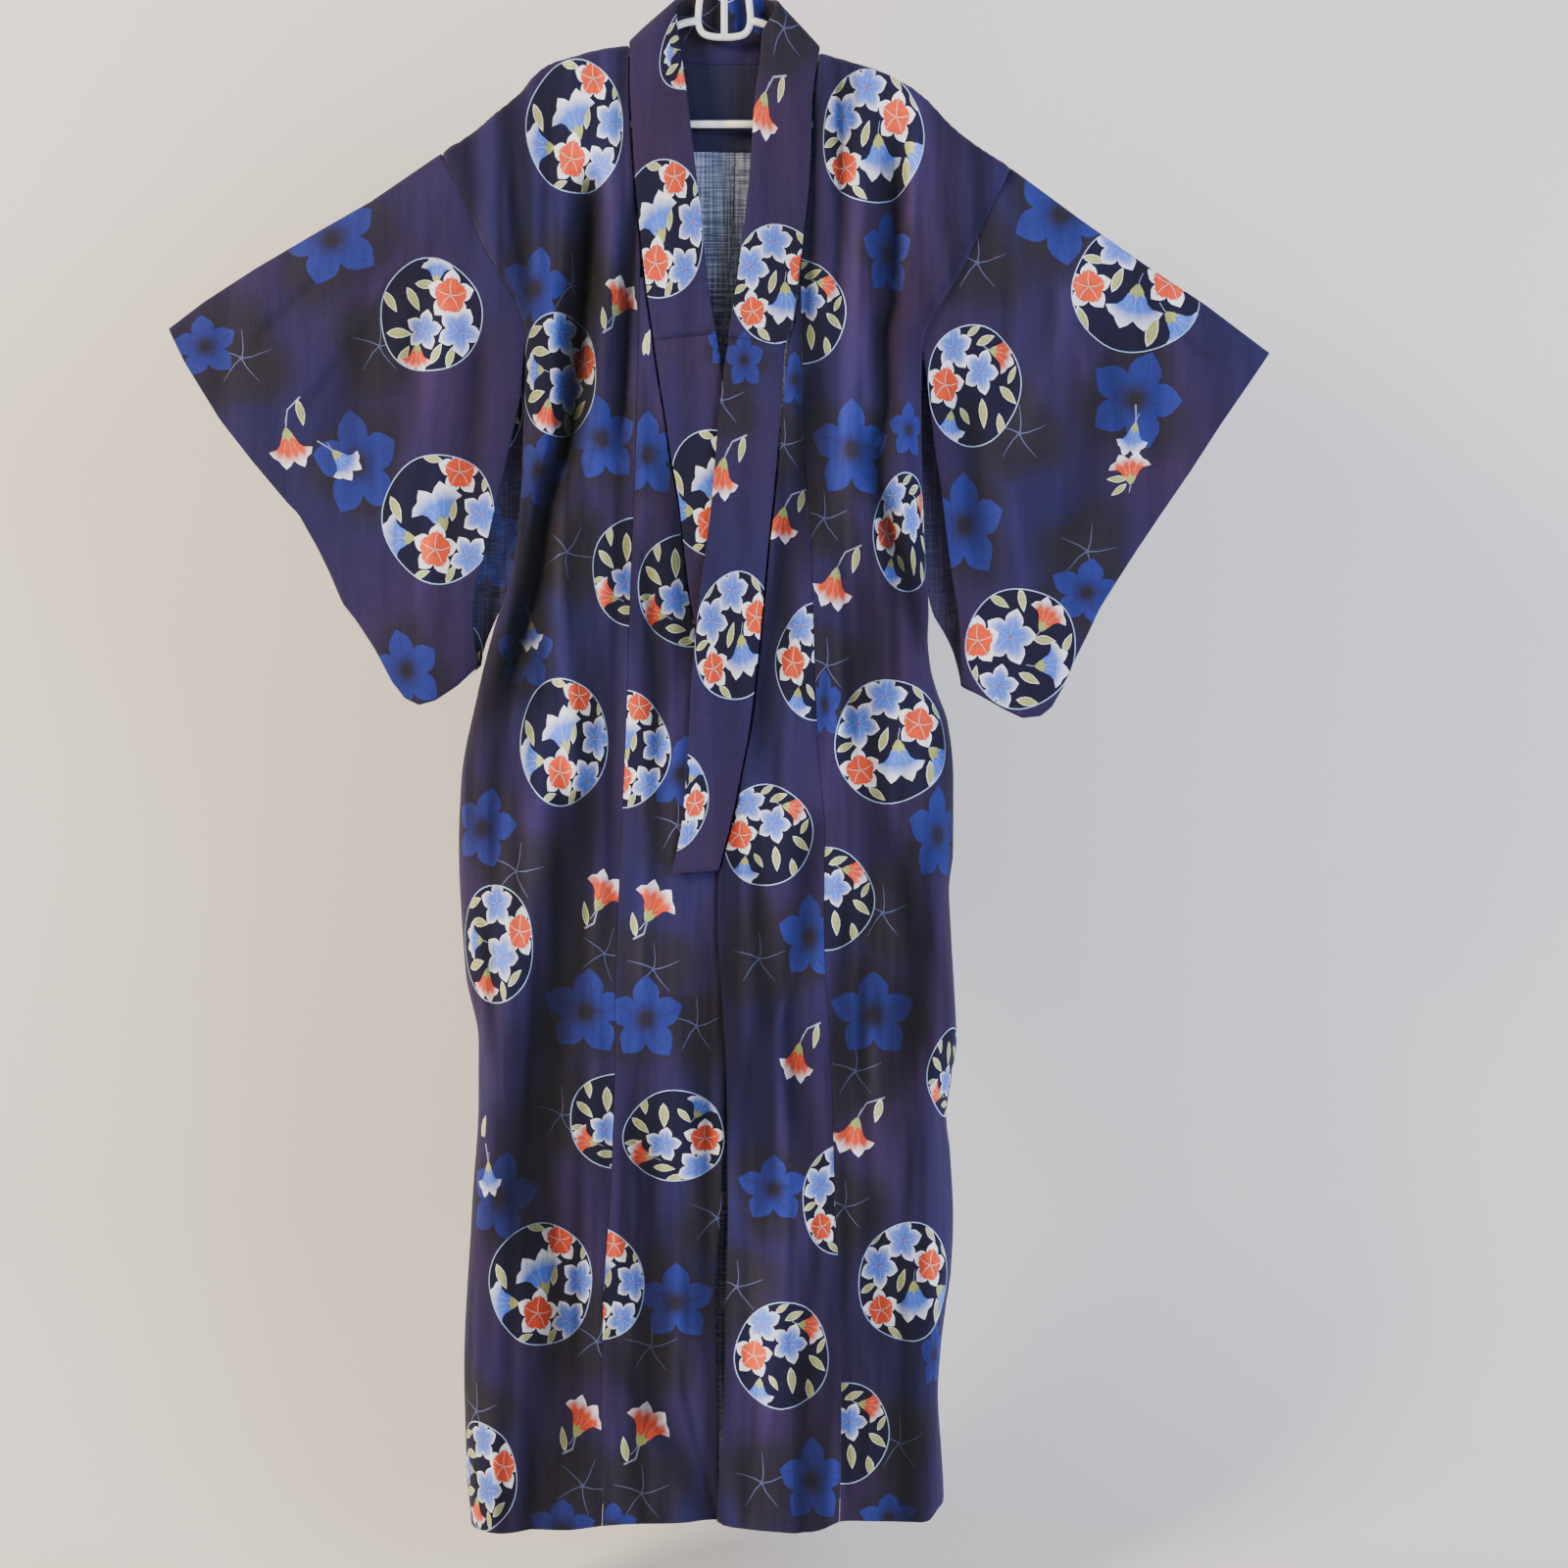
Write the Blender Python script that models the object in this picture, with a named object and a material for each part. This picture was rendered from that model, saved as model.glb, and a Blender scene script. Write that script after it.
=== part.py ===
# Cotton yukata robe hung on a white plastic hanger, one rigid part.
# Metres, +Z up, viewer at -Y. The origin is where the hook bears on its rail.
# Flat tables are in millimetres: x to the viewer's right, d down from the origin.
import math

import bmesh
import bpy
import numpy as np

for old in list(bpy.data.objects):
    bpy.data.objects.remove(old, do_unlink=True)

MM = 0.001
WALL = 1.3          # cloth wall
GAP = 0.3           # space left between sewn pieces
HALF_GAP = GAP / 2.0
COLLAR_HALF = 1.1   # half thickness of the folded collar band
SHOULDER_ROLL = 12.0  # how far the cloth rolls over the hanger arm
SLEEVE_ROOM = 10.0  # half the space inside the sleeve at the armhole
OVER_LIFT = 6.5     # how far the upper front lies in front of the lower one

# Outer line of the front and back panels: armhole seam, then side seam (d, x).
R_OUTER = [(248, -303), (341, -261), (450, -212), (580, -216), (674, -223), (759, -247),
           (835, -265), (921, -281), (986, -284), (1126, -276), (1198, -263), (1256, -263),
           (1381, -270), (1548, -278), (1646, -276), (1710, -271)]
L_OUTER = [(264, 307), (372, 256), (462, 211), (517, 210), (591, 212), (674, 216), (738, 219),
           (768, 218), (799, 221), (825, 228), (857, 239), (916, 245), (996, 245), (1036, 241),
           (1078, 243), (1174, 248), (1198, 249), (1233, 244), (1281, 238), (1317, 242),
           (1384, 245), (1444, 243), (1480, 238), (1528, 232), (1576, 229), (1646, 233),
           (1683, 235), (1710, 230)]
# Seam from the neck point down to the hem between front panel and overlap panel (d, x).
R_OKUMI = [(133, -102), (179, -101), (215, -100), (295, -94), (372, -89), (487, -91),
           (612, -94), (713, -98), (827, -101), (948, -106), (1031, -110), (1126, -113),
           (1233, -114), (1324, -117), (1392, -121), (1480, -126), (1576, -127),
           (1646, -125), (1710, -127)]
L_OKUMI = [(141, 103), (196, 96), (255, 94), (295, 91), (331, 87), (372, 82), (435, 83),
           (508, 84), (591, 87), (673, 93), (754, 95), (822, 97), (882, 100), (924, 103),
           (976, 107), (1069, 106), (1132, 108), (1198, 113), (1269, 115), (1305, 116),
           (1381, 118), (1456, 123), (1576, 124), (1710, 122)]
# Sewn edge and free edge of the collar band down each front (d, x).
R_COLLAR_OUT = [(135, -102), (179, -102), (215, -100), (295, -94), (362, -87), (404, -82),
                (446, -76), (489, -70), (531, -63), (574, -57), (638, -46), (701, -40),
                (768, -28), (840, -17), (924, -4), (1015, 9)]
R_COLLAR_IN = [(93, -51), (121, -50), (150, -46), (193, -40), (237, -35), (281, -30),
               (320, -25), (374, -20), (414, -15), (472, -3), (495, -1), (574, 9), (638, 18),
               (701, 25), (768, 38), (840, 48), (924, 61), (1015, 67)]
L_COLLAR_OUT = [(141, 103), (196, 96), (255, 94), (295, 91), (331, 87), (372, 82), (435, 74),
                (464, 66), (508, 63), (562, 59), (619, 54), (675, 48), (776, 39), (857, 30),
                (916, 19), (965, 9), (1015, -4)]
L_COLLAR_IN = [(93, 57), (112, 45), (128, 41), (150, 40), (179, 36), (208, 32), (244, 31),
               (281, 28), (320, 24), (361, 19), (414, 12), (445, 7), (495, -1), (549, -6),
               (633, -13), (681, -19), (717, -24), (755, -27), (786, -31), (827, -34),
               (890, -37), (963, -43), (995, -49), (1015, -54)]
# Free front edges of the overlap panels below the collar (d, x).
UNDER_EDGE = [(1015, 9), (1236, 4), (1392, -3), (1444, -7), (1508, -8), (1576, -5),
              (1646, -4), (1710, -6)]
OVER_EDGE = [(1015, -4), (1059, -6), (1111, -4), (1150, -1), (1222, 3), (1269, 4), (1381, 5),
             (1456, 3), (1576, 1), (1659, -5), (1710, -7)]
# Shoulder line from the neck point out to the top of the armhole (x, d).
R_SHOULDER = [(-330, 262), (-303, 248), (-272, 228), (-245, 206), (-217, 183), (-202, 164),
              (-189, 154), (-161, 145), (-133, 137), (-102, 133)]
L_SHOULDER = [(103, 141), (137, 151), (168, 161), (197, 176), (214, 189), (250, 225),
              (307, 264), (335, 282)]
# Hem line (x, d).
HEM = [(-300, 1711), (-244, 1710), (-204, 1708), (-157, 1705), (-128, 1701), (-99, 1699),
       (-52, 1698), (-8, 1696), (4, 1699), (56, 1703), (80, 1706), (100, 1704), (127, 1695),
       (185, 1698), (219, 1700), (235, 1690), (260, 1688)]
# Centre back seam (d, x) and the back neckline (x, d), (x, y).
BACK_SEAM = [(150, 9), (243, 11), (360, 7), (455, -3), (700, -6), (1710, -8)]
NECK_D = [(-102, 133), (-75, 142), (-40, 149), (0, 151), (40, 151), (75, 146), (103, 141)]
# Depth in front, depth behind, width of the rounded side, by height (d, mm).
FRONT_DEPTH = [(133, 11), (248, 14), (350, 19), (450, 23), (600, 31), (900, 39), (1300, 45),
               (1710, 49)]
BACK_DEPTH = [(133, 13), (248, 13), (350, 14), (450, 15), (600, 17), (900, 20), (1300, 23),
              (1710, 25)]
SIDE_ROUND = [(133, 16), (248, 18), (450, 24), (600, 34), (900, 44), (1300, 48), (1710, 50)]
# Open half space between front and back at the outer edge (d, mm).
EDGE_ROOM = [(133, 0.0), (248, 0.0), (262, 5.5), (285, 9.5), (310, 10.0), (450, 10.0),
             (520, 8.0), (570, 3.0), (600, 0.0), (1710, 0.0)]

# Front folds: half width, depth (a trough is above 0), then the line (d, x).
FRONT_FOLDS = [
    (15, 21, [(250, -138), (352, -144), (456, -154), (539, -163), (622, -186), (705, -198),
              (788, -221), (880, -243)]),
    (17, -8, [(215, -122), (300, -118), (400, -121), (500, -126), (590, -140), (680, -156)]),
    (9, 9, [(330, -102), (435, -107), (479, -109), (600, -111)]),
    (10, 5, [(520, -57), (646, -43), (729, -38), (840, -36)]),
    (9, 6, [(650, -111), (820, -115), (907, -117), (976, -116), (1059, -119), (1160, -123)]),
    (26, 9, [(900, -146), (986, -154), (1059, -167), (1166, -179), (1254, -186), (1314, -189),
             (1423, -184), (1519, -179), (1579, -186), (1720, -198)]),
    (20, -7, [(820, -186), (930, -196), (1060, -212), (1180, -226), (1300, -232)]),
    (10, 13, [(215, 182), (310, 183), (404, 180), (446, 171), (508, 173), (579, 164),
              (646, 175), (716, 199), (800, 212)]),
    (12, -6, [(240, 150), (340, 150), (470, 142), (600, 134), (740, 150)]),
    (6, 6, [(165, 101), (227, 97), (313, 95), (404, 91), (490, 87)]),
    (13, 8, [(456, 101), (528, 93), (591, 87), (674, 70), (757, 56), (840, 45), (940, 37)]),
    (15, 8, [(930, 103), (1007, 94), (1077, 86), (1166, 70), (1225, 76), (1284, 85),
             (1360, 92)]),
    (11, 5, [(985, 32), (1048, 39), (1137, 44), (1220, 50)]),
    (15, 7, [(945, 176), (1028, 194), (1108, 210), (1173, 205), (1260, 192)]),
    (13, 4, [(1110, -42), (1225, -27), (1298, -17), (1390, -10)]),
    (16, 6, [(1510, -112), (1589, -69), (1646, -35), (1720, -8)]),
    (22, 5, [(1330, 160), (1450, 168), (1580, 176), (1720, 184)]),
    (24, -5, [(1300, 40), (1450, 46), (1600, 52), (1720, 50)]),
]
BACK_FOLDS = [
    (16, 8, [(300, -150), (520, -158), (760, -176), (1000, -186), (1200, -190)]),
    (20, 7, [(420, 130), (640, 138), (900, 152), (1180, 160), (1400, 158)]),
    (14, -5, [(330, -96), (560, -104), (820, -112), (1100, -118)]),
    (18, 8, [(880, -90), (1100, -96), (1360, -104), (1720, -116)]),
    (22, 9, [(1000, 92), (1250, 86), (1500, 96), (1720, 104)]),
    (16, 5, [(560, 52), (760, 58), (940, 50), (1150, 44)]),
    (18, -5, [(1150, -186), (1400, -192), (1720, -198)]),
]
# Sleeve outlines (x, d): top fold, cuff, bottom round, inner edge front and back.
R_TOP = [(-303, 248), (-379, 300), (-430, 329), (-503, 372), (-557, 407), (-595, 436)]
R_CUFF = [(-595, 436), (-576, 474), (-539, 534), (-503, 580), (-466, 624), (-455, 635),
          (-437, 668), (-423, 697), (-409, 730), (-394, 749), (-375, 778), (-356, 814)]
R_BOTTOM = [(-356, 814), (-342, 832), (-327, 839), (-309, 834), (-285, 818), (-262, 795)]
R_INNER = [(-303, 248), (-261, 341), (-212, 450), (-216, 508), (-228, 562), (-248, 643),
           (-265, 716), (-268, 742), (-266, 778), (-262, 795)]
R_INNER_BACK = [(-303, 248), (-261, 341), (-212, 450), (-218, 508), (-221, 591), (-230, 674),
                (-247, 736), (-262, 795)]
L_TOP = [(307, 264), (383, 320), (450, 367), (515, 410), (584, 462)]
L_CUFF = [(584, 462), (529, 542), (498, 590), (465, 638), (444, 670), (424, 701), (402, 736),
          (389, 764), (376, 790), (363, 820)]
L_BOTTOM = [(363, 820), (351, 841), (339, 851), (319, 853), (300, 844), (274, 829), (255, 817)]
L_INNER = [(307, 264), (256, 372), (211, 462), (217, 494), (220, 526), (226, 574), (231, 605),
           (237, 653), (243, 701), (249, 733), (252, 764), (255, 817)]
L_INNER_BACK = [(307, 264), (256, 372), (211, 462), (216, 500), (217, 560), (222, 674),
                (229, 742), (246, 782), (255, 817)]
CUFF_OPEN = 650.0   # below this height the cuff edge is sewn shut
# Sleeve folds: half width, depth, start (x, d), end (x, d).
SLEEVE_FOLDS = [
    (16, 6, (-250, 400), (-300, 720)),
    (14, -4, (-290, 360), (-350, 700)),
    (22, 5, (-340, 330), (-440, 600)),
    (13, 6, (245, 470), (290, 760)),
    (12, -4, (402, 330), (306, 590)),
    (20, 5, (430, 400), (350, 760)),
]


def curve(table):
    """Smooth line through a table of (position, value), no overshoot."""
    px = np.array([row[0] for row in table], float)
    py = np.array([row[1] for row in table], float)
    step = np.diff(px)
    slope = np.diff(py) / step
    tang = np.zeros(len(px))
    for i in range(1, len(px) - 1):
        if slope[i - 1] * slope[i] > 0:
            w1 = 2 * step[i] + step[i - 1]
            w2 = step[i] + 2 * step[i - 1]
            tang[i] = (w1 + w2) / (w1 / slope[i - 1] + w2 / slope[i])
    tang[0] = slope[0]
    tang[-1] = slope[-1]

    def value(at):
        at = np.clip(np.asarray(at, float), px[0], px[-1])
        i = np.clip(np.searchsorted(px, at, side="right") - 1, 0, len(px) - 2)
        t = (at - px[i]) / step[i]
        a = py[i] * (1 + 2 * t) * (1 - t) ** 2 + py[i + 1] * t * t * (3 - 2 * t)
        b = step[i] * (tang[i] * t * (1 - t) ** 2 - tang[i + 1] * t * t * (1 - t))
        return a + b

    return value


OUTER = {"R": curve(R_OUTER), "L": curve(L_OUTER)}
OKUMI = {"R": curve(R_OKUMI), "L": curve(L_OKUMI)}
COLLAR_OUT = {"R": curve(R_COLLAR_OUT), "L": curve(L_COLLAR_OUT)}
COLLAR_IN = {"R": curve(R_COLLAR_IN), "L": curve(L_COLLAR_IN)}
FREE_EDGE = {"R": curve(UNDER_EDGE), "L": curve(OVER_EDGE)}
SHOULDER = {"R": curve(R_SHOULDER), "L": curve(L_SHOULDER)}
HEM_AT = curve(HEM)
SEAM_AT = curve(BACK_SEAM)
NECK_AT = curve(NECK_D)
DEPTH = {"front": curve(FRONT_DEPTH), "back": curve(BACK_DEPTH)}
ROUND_AT = curve(SIDE_ROUND)
ROOM_AT = curve(EDGE_ROOM)
FOLDS = {"front": [(w, a, curve(line), line[0][0], line[-1][0]) for w, a, line in FRONT_FOLDS],
         "back": [(w, a, curve(line), line[0][0], line[-1][0]) for w, a, line in BACK_FOLDS]}


def ease(t):
    t = np.clip(t, 0.0, 1.0)
    return t * t * (3 - 2 * t)


def fold_depth(layer, x, d):
    """Sum of the troughs and ridges at a place on the body."""
    total = np.zeros(np.broadcast(x, d).shape)
    for half, deep, line, top, low in FOLDS[layer]:
        ends = np.minimum(ease((d - top) / 90.0), ease((low - d) / 110.0))
        if low > 1700:
            ends = ease((d - top) / 90.0)
        total = total + deep * ends * np.exp(-((x - line(d)) / half) ** 2)
    return total


def shoulder_d(side, x):
    return SHOULDER[side](x)


def side_edge(side, layer, d):
    """Flat position of the outer edge, its start angle and the arc length."""
    sign = 1.0 if side == "R" else -1.0
    deep = DEPTH[layer](d)
    wide = ROUND_AT(d)
    start = np.arcsin(np.clip(ROOM_AT(d) / deep, 0.0, 0.95))
    arc = (math.pi / 2 - start) * np.sqrt((wide ** 2 + deep ** 2) / 2)
    flat = OUTER[side](d) + sign * (wide * np.cos(start) - arc)
    return flat, start, arc


def body(side, layer, s, t, lift=0.0):
    """Point on the outer face of a body panel from flat cloth position s, t."""
    s = np.asarray(s, float)
    t = np.asarray(t, float)
    sign = 1.0 if side == "R" else -1.0
    roll = (math.pi / 2) * SHOULDER_ROLL
    top = shoulder_d(side, s)
    over = t - (top + SHOULDER_ROLL - roll)
    angle = np.clip(over / roll, 0.0, 1.0) * math.pi / 2
    d = np.where(over < roll, top + SHOULDER_ROLL * (1 - np.cos(angle)), t)
    rise = np.sin(angle)
    if layer == "back":
        near = ease((112.0 - np.abs(s)) / 40.0)
        d = d * (1 - near) + t * near
        rise = rise * (1 - near) + near
    edge, start, arc = side_edge(side, layer, d)
    wide = ROUND_AT(d)
    deep = DEPTH[layer](d)
    part = np.clip(sign * (s - edge) / arc, 0.0, 1.0)
    theta = start + part * (math.pi / 2 - start)
    x = np.where(part < 1.0, OUTER[side](d) + sign * wide * (np.cos(start) - np.cos(theta)), s)
    free = ease((part - 0.35) / 0.65)
    soft = ease((d - top - 10.0) / 70.0)
    y = deep * np.sin(theta) * rise - fold_depth(layer, x, d) * free * soft
    y = np.maximum(y, 0.0) + HALF_GAP
    if layer == "front":
        y = -y - lift * over_lift(side, x, d)
    return x, y, d


def over_lift(side, x, d):
    """The wearer's left front lies over the right one where they cross."""
    if side != "L":
        return np.zeros(np.broadcast(x, d).shape)
    return ease((150.0 - x) / 75.0) * ease((d - 330.0) / 120.0)


def lift_for(side):
    return OVER_LIFT if side == "L" else 0.0


def grid_solid(name, outer, wall, colour, inner=None, seams=()):
    """Closed shell from a grid of outer points and its inner side."""
    rows, cols, _ = outer.shape
    if inner is None:
        du = np.gradient(outer, axis=1)
        dv = np.gradient(outer, axis=0)
        normal = np.cross(du, dv)
        for col in seams:
            normal[:, col, 0] = 0.0
        meets = np.abs(outer[..., 1]) < 2.5
        meets[1:, 1:] = False
        normal[meets, 1] = 0.0
        normal /= np.linalg.norm(normal, axis=2)[..., None] + 1e-12
        inner = outer + normal * wall
    verts = np.concatenate([outer.reshape(-1, 3), inner.reshape(-1, 3)]) * MM
    half = rows * cols
    faces = []
    for i in range(rows - 1):
        for j in range(cols - 1):
            a = i * cols + j
            faces.append((a, a + 1, a + 1 + cols, a + cols))
            b = a + half
            faces.append((b, b + cols, b + cols + 1, b + 1))
    ring = [j for j in range(cols)]
    ring += [i * cols + cols - 1 for i in range(1, rows)]
    ring += [(rows - 1) * cols + j for j in range(cols - 2, -1, -1)]
    ring += [i * cols for i in range(rows - 2, 0, -1)]
    for k, a in enumerate(ring):
        b = ring[(k + 1) % len(ring)]
        faces.append((b, a, a + half, b + half))
    return make_object(name, verts, faces, colour, 0.85)


def make_object(name, verts, faces, colour, rough):
    mesh = bpy.data.meshes.new(name)
    mesh.from_pydata([tuple(v) for v in verts], [], faces)
    bm = bmesh.new()
    bm.from_mesh(mesh)
    bmesh.ops.triangulate(bm, faces=bm.faces[:])
    bmesh.ops.recalc_face_normals(bm, faces=bm.faces[:])
    if bm.calc_volume(signed=True) < 0:
        bmesh.ops.reverse_faces(bm, faces=bm.faces[:])
    bm.to_mesh(mesh)
    bm.free()
    obj = bpy.data.objects.new(name, mesh)
    bpy.context.collection.objects.link(obj)
    mat = bpy.data.materials.new(name + "_material")
    mat.use_nodes = True
    shader = mat.node_tree.nodes["Principled BSDF"]
    shader.inputs["Base Color"].default_value = (*colour, 1.0)
    shader.inputs["Roughness"].default_value = rough
    mesh.materials.append(mat)
    return obj


def spaced(cols, power=1.0):
    return np.linspace(0.0, 1.0, cols) ** power


def stack(x, y, d):
    return np.stack([x, y, -d], axis=-1)


def top_of_column(side, layer, u, inner_at):
    """Height where a column of the panel meets the shoulder line."""
    low, high = 120.0, 300.0
    for _ in range(40):
        mid = (low + high) / 2
        edge = float(side_edge(side, layer, mid)[0])
        s = edge + u * (float(inner_at(mid)) - edge)
        if mid < float(shoulder_d(side, s)):
            low = mid
        else:
            high = mid
    return (low + high) / 2


ROWS_TOP = [0.0, 4.0, 9.0, 14.0, 19.0]


def panel_rows(count, start, end):
    """Flat heights down a panel, close together over the shoulder roll."""
    first = np.array([start + r for r in ROWS_TOP])
    rest = np.linspace(start + 45.0, end, count)
    return np.concatenate([first, rest])


def body_panel(name, side, layer, inner_at, cols, rows, colour):
    roll = (math.pi / 2) * SHOULDER_ROLL
    shape = (len(ROWS_TOP) + rows, cols)
    s = np.zeros(shape)
    t = np.zeros(shape)
    for j, u in enumerate(spaced(cols)):
        top = top_of_column(side, layer, u, inner_at)
        start = top + SHOULDER_ROLL - roll
        if layer == "back":
            edge = float(side_edge(side, layer, top)[0])
            at = edge + u * (float(inner_at(top)) - edge)
            near = float(ease((112.0 - abs(at)) / 40.0))
            neck = float(NECK_AT(at)) + 1.2
            start = start * (1 - near) + neck * near
        t[:, j] = panel_rows(rows, start, 1700.0)
        for step in range(2):
            d = np.maximum(t[:, j], top)
            edge = side_edge(side, layer, d)[0]
            s[:, j] = edge + u * (inner_at(d) - edge)
            if step == 0:
                end = HEM_AT(s[-1, j])
                t[:, j] = start + (t[:, j] - start) * (end - start) / (1700.0 - start)
    x, y, d = body(side, layer, s, t, lift_for(side) if layer == "front" else 0.0)
    grid_solid(name, stack(x, y, d), wall_sign(side, layer), colour, seams=(-1,))
    return t[:, -1]


def wall_sign(side, layer):
    flip = 1.0 if side == "R" else -1.0
    if layer == "back":
        flip = -flip
    return WALL * flip


NAVY = (0.020, 0.016, 0.058)
DARK = (0.012, 0.011, 0.026)
WHITE = (0.80, 0.80, 0.80)


def sided(line, side, shift):
    move = -shift if side == "R" else shift
    return lambda d: line(d) + move


SEAM_ROWS = {}
for side, word in (("R", "right"), ("L", "left")):
    seam = sided(OKUMI[side], side, HALF_GAP)
    SEAM_ROWS[side] = body_panel("front_" + word, side, "front", seam, 12, 34, NAVY)
    back = sided(SEAM_AT, side, HALF_GAP)
    body_panel("back_" + word, side, "back", back, 9, 22, NAVY)


# Overlap panels between the panel seam and the collar, then the free edge.
def okumi_front(side):
    collar = COLLAR_OUT[side]
    free = FREE_EDGE[side]
    return lambda d: np.where(np.asarray(d) < 1015.0, collar(d), free(d))


def okumi_panel(name, side, cols):
    """Shares the heights of the panel beside it, so the seam stays even."""
    sign = 1.0 if side == "R" else -1.0
    front = okumi_front(side)
    d = SEAM_ROWS[side]
    d = d[d > 384.0]
    s = np.zeros((len(d), cols))
    t = np.zeros((len(d), cols))
    for j, u in enumerate(spaced(cols)):
        a = OKUMI[side](d) + sign * HALF_GAP
        b = front(d) - sign * np.where(d < 1015.0, 1.1, HALF_GAP)
        s[:, j] = a + u * (b - a)
        t[:, j] = d[0] + (d - d[0]) * (HEM_AT(s[:, j]) - d[0]) / (d[-1] - d[0])
    x, y, low = body(side, "front", s, t, lift_for(side))
    return grid_solid(name, stack(x, y, low), wall_sign(side, "front"), NAVY, seams=(0, -1))


okumi_panel("okumi_right", "R", 5)
okumi_panel("okumi_left", "L", 5)


# Collar band: sewn edge and free edge at stations from one end to the other.
NECK_STATIONS = [
    # sewn edge x, y, d; free edge x, y, d
    ((-100.8, -6.0, 136.0), (-51.5, -16.0, 97.0)),
    ((-99.8, 0.5, 129.5), (-50.0, -6.0, 87.0)),
    ((-92.0, 9.0, 131.5), (-46.0, 4.0, 83.0)),
    ((-72.0, 13.5, 140.0), (-38.0, 9.5, 80.5)),
    ((-38.0, 15.0, 148.0), (-20.0, 11.5, 79.5)),
    ((0.0, 15.2, 150.0), (1.0, 12.0, 79.0)),
    ((38.0, 15.0, 150.0), (24.0, 11.5, 79.5)),
    ((72.0, 13.5, 145.5), (41.0, 9.5, 80.5)),
    ((93.0, 9.0, 137.5), (51.0, 4.0, 83.5)),
    ((100.6, 0.5, 135.0), (55.5, -6.0, 88.0)),
    ((101.4, -6.0, 142.5), (56.5, -16.0, 98.0)),
]


def front_station(side, d_out, d_in):
    sign = 1.0 if side == "R" else -1.0
    clear = 0.7 + 0.9 * float(ease((300.0 - d_out) / 100.0))
    xa = float(COLLAR_OUT[side](d_out)) + sign * clear
    xb = float(COLLAR_IN[side](d_in))
    lift = lift_for(side)
    _, ya, _ = body(side, "front", xa, d_out, lift)
    _, yb, _ = body(side, "front", xb, d_in, lift)
    return (xa, float(ya), d_out), (xb, float(yb), d_in)


def collar_stations():
    rows = [(1014, 1018), (965, 967), (916, 918), (870, 871), (820, 820), (776, 775),
            (725, 724), (675, 673), (619, 616), (574, 570), (535, 531), (508, 504), (485, 480),
            (464, 457), (435, 427), (404, 395), (372, 360), (331, 316), (295, 278),
            (255, 236), (215, 190), (184, 152), (160, 124)]
    right = [front_station("R", a, b) for a, b in rows]
    left = [front_station("L", a, b) for a, b in rows]
    for part in (right, left):
        for k, keep in ((-1, 0.45), (-2, 0.75), (-3, 0.92)):
            (xa, ya, da), (xb, yb, db) = part[k]
            part[k] = (xa, ya * keep - 8.0 * (1 - keep), da), (xb, yb * keep - 18.0 * (1 - keep), db)
    return right + NECK_STATIONS + left[::-1]


STATIONS = collar_stations()


def band_frames(stations, cols):
    """Mid surface of the band and its outward direction."""
    a = np.array([row[0] for row in stations], float)
    b = np.array([row[1] for row in stations], float)
    a[:, 2] *= -1
    b[:, 2] *= -1
    u = np.linspace(0.0, 1.0, cols)[None, :, None]
    mid = a[:, None, :] * (1 - u) + b[:, None, :] * u
    along = np.gradient(mid, axis=0)
    across = (b - a)[:, None, :] + mid * 0.0
    out = np.cross(along, across)
    out /= np.linalg.norm(out, axis=2)[..., None]
    wide = np.linalg.norm(b - a, axis=1)[:, None, None]
    return mid, out, across / wide


def band_solid(name, stations, loops, colour):
    """Closed sweep. loops gives for each ring point: column, side shift, out."""
    cols = max(row[0] for row in loops) + 1
    mid, out, across = band_frames(stations, cols)
    count = len(loops)
    verts = []
    for i in range(len(stations)):
        for col, push, off in loops:
            verts.append((mid[i, col] + across[i, col] * push + out[i, col] * off) * MM)
    faces = []
    for i in range(len(stations) - 1):
        for k in range(count):
            a = i * count + k
            b = i * count + (k + 1) % count
            faces.append((a, b, b + count, a + count))
    faces.append(tuple(range(count - 1, -1, -1)))
    faces.append(tuple(len(verts) - count + k for k in range(count)))
    return make_object(name, verts, faces, colour, 0.85)


def resample(stations, lengths):
    """Stations at more places, smooth between the given ones."""
    rows = np.array([list(a) + list(b) for a, b in stations], float)
    places = np.arange(len(rows))
    lines = [curve(list(zip(places, rows[:, k]))) for k in range(6)]
    out = []
    for at in lengths:
        vals = [float(line(at)) for line in lines]
        out.append((tuple(vals[:3]), tuple(vals[3:])))
    return out


LAST = len(STATIONS) - 1
PLACES = sorted(set([float(k) for k in range(LAST + 1)] + [k + 0.5 for k in range(20, LAST - 20)]))
BAND = resample(STATIONS, PLACES)
RING = [(k, 0.0, COLLAR_HALF) for k in (0, 2, 4)] + [(k, 0.0, -COLLAR_HALF) for k in (4, 2, 0)]
band_solid("collar", BAND, RING, NAVY)

# Over collar: wraps the free edge, outside and inside, from chest to chest.
OVER_PLACES = [p for p in PLACES if 13.4 <= p <= LAST - 13.2]
OVER_PLACES = [13.4] + OVER_PLACES + [LAST - 13.2]
OVER_BAND = resample(STATIONS, OVER_PLACES)
SKIN = 0.9
NEAR = COLLAR_HALF + GAP + 0.2
FAR = NEAR + SKIN
U_RING = [(0, 0.6, FAR), (2, 0, FAR), (4, 0.2, FAR), (4, 1.4, 0.0), (4, 0.2, -FAR),
          (2, 0, -FAR), (0, 0.6, -FAR), (0, 0.6, -NEAR), (2, 0, -NEAR), (4, 0.1, -NEAR),
          (4, 0.5, 0.0), (4, 0.1, NEAR), (2, 0, NEAR), (0, 0.6, NEAR)]
band_solid("over_collar", OVER_BAND, U_RING, NAVY)


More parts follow.
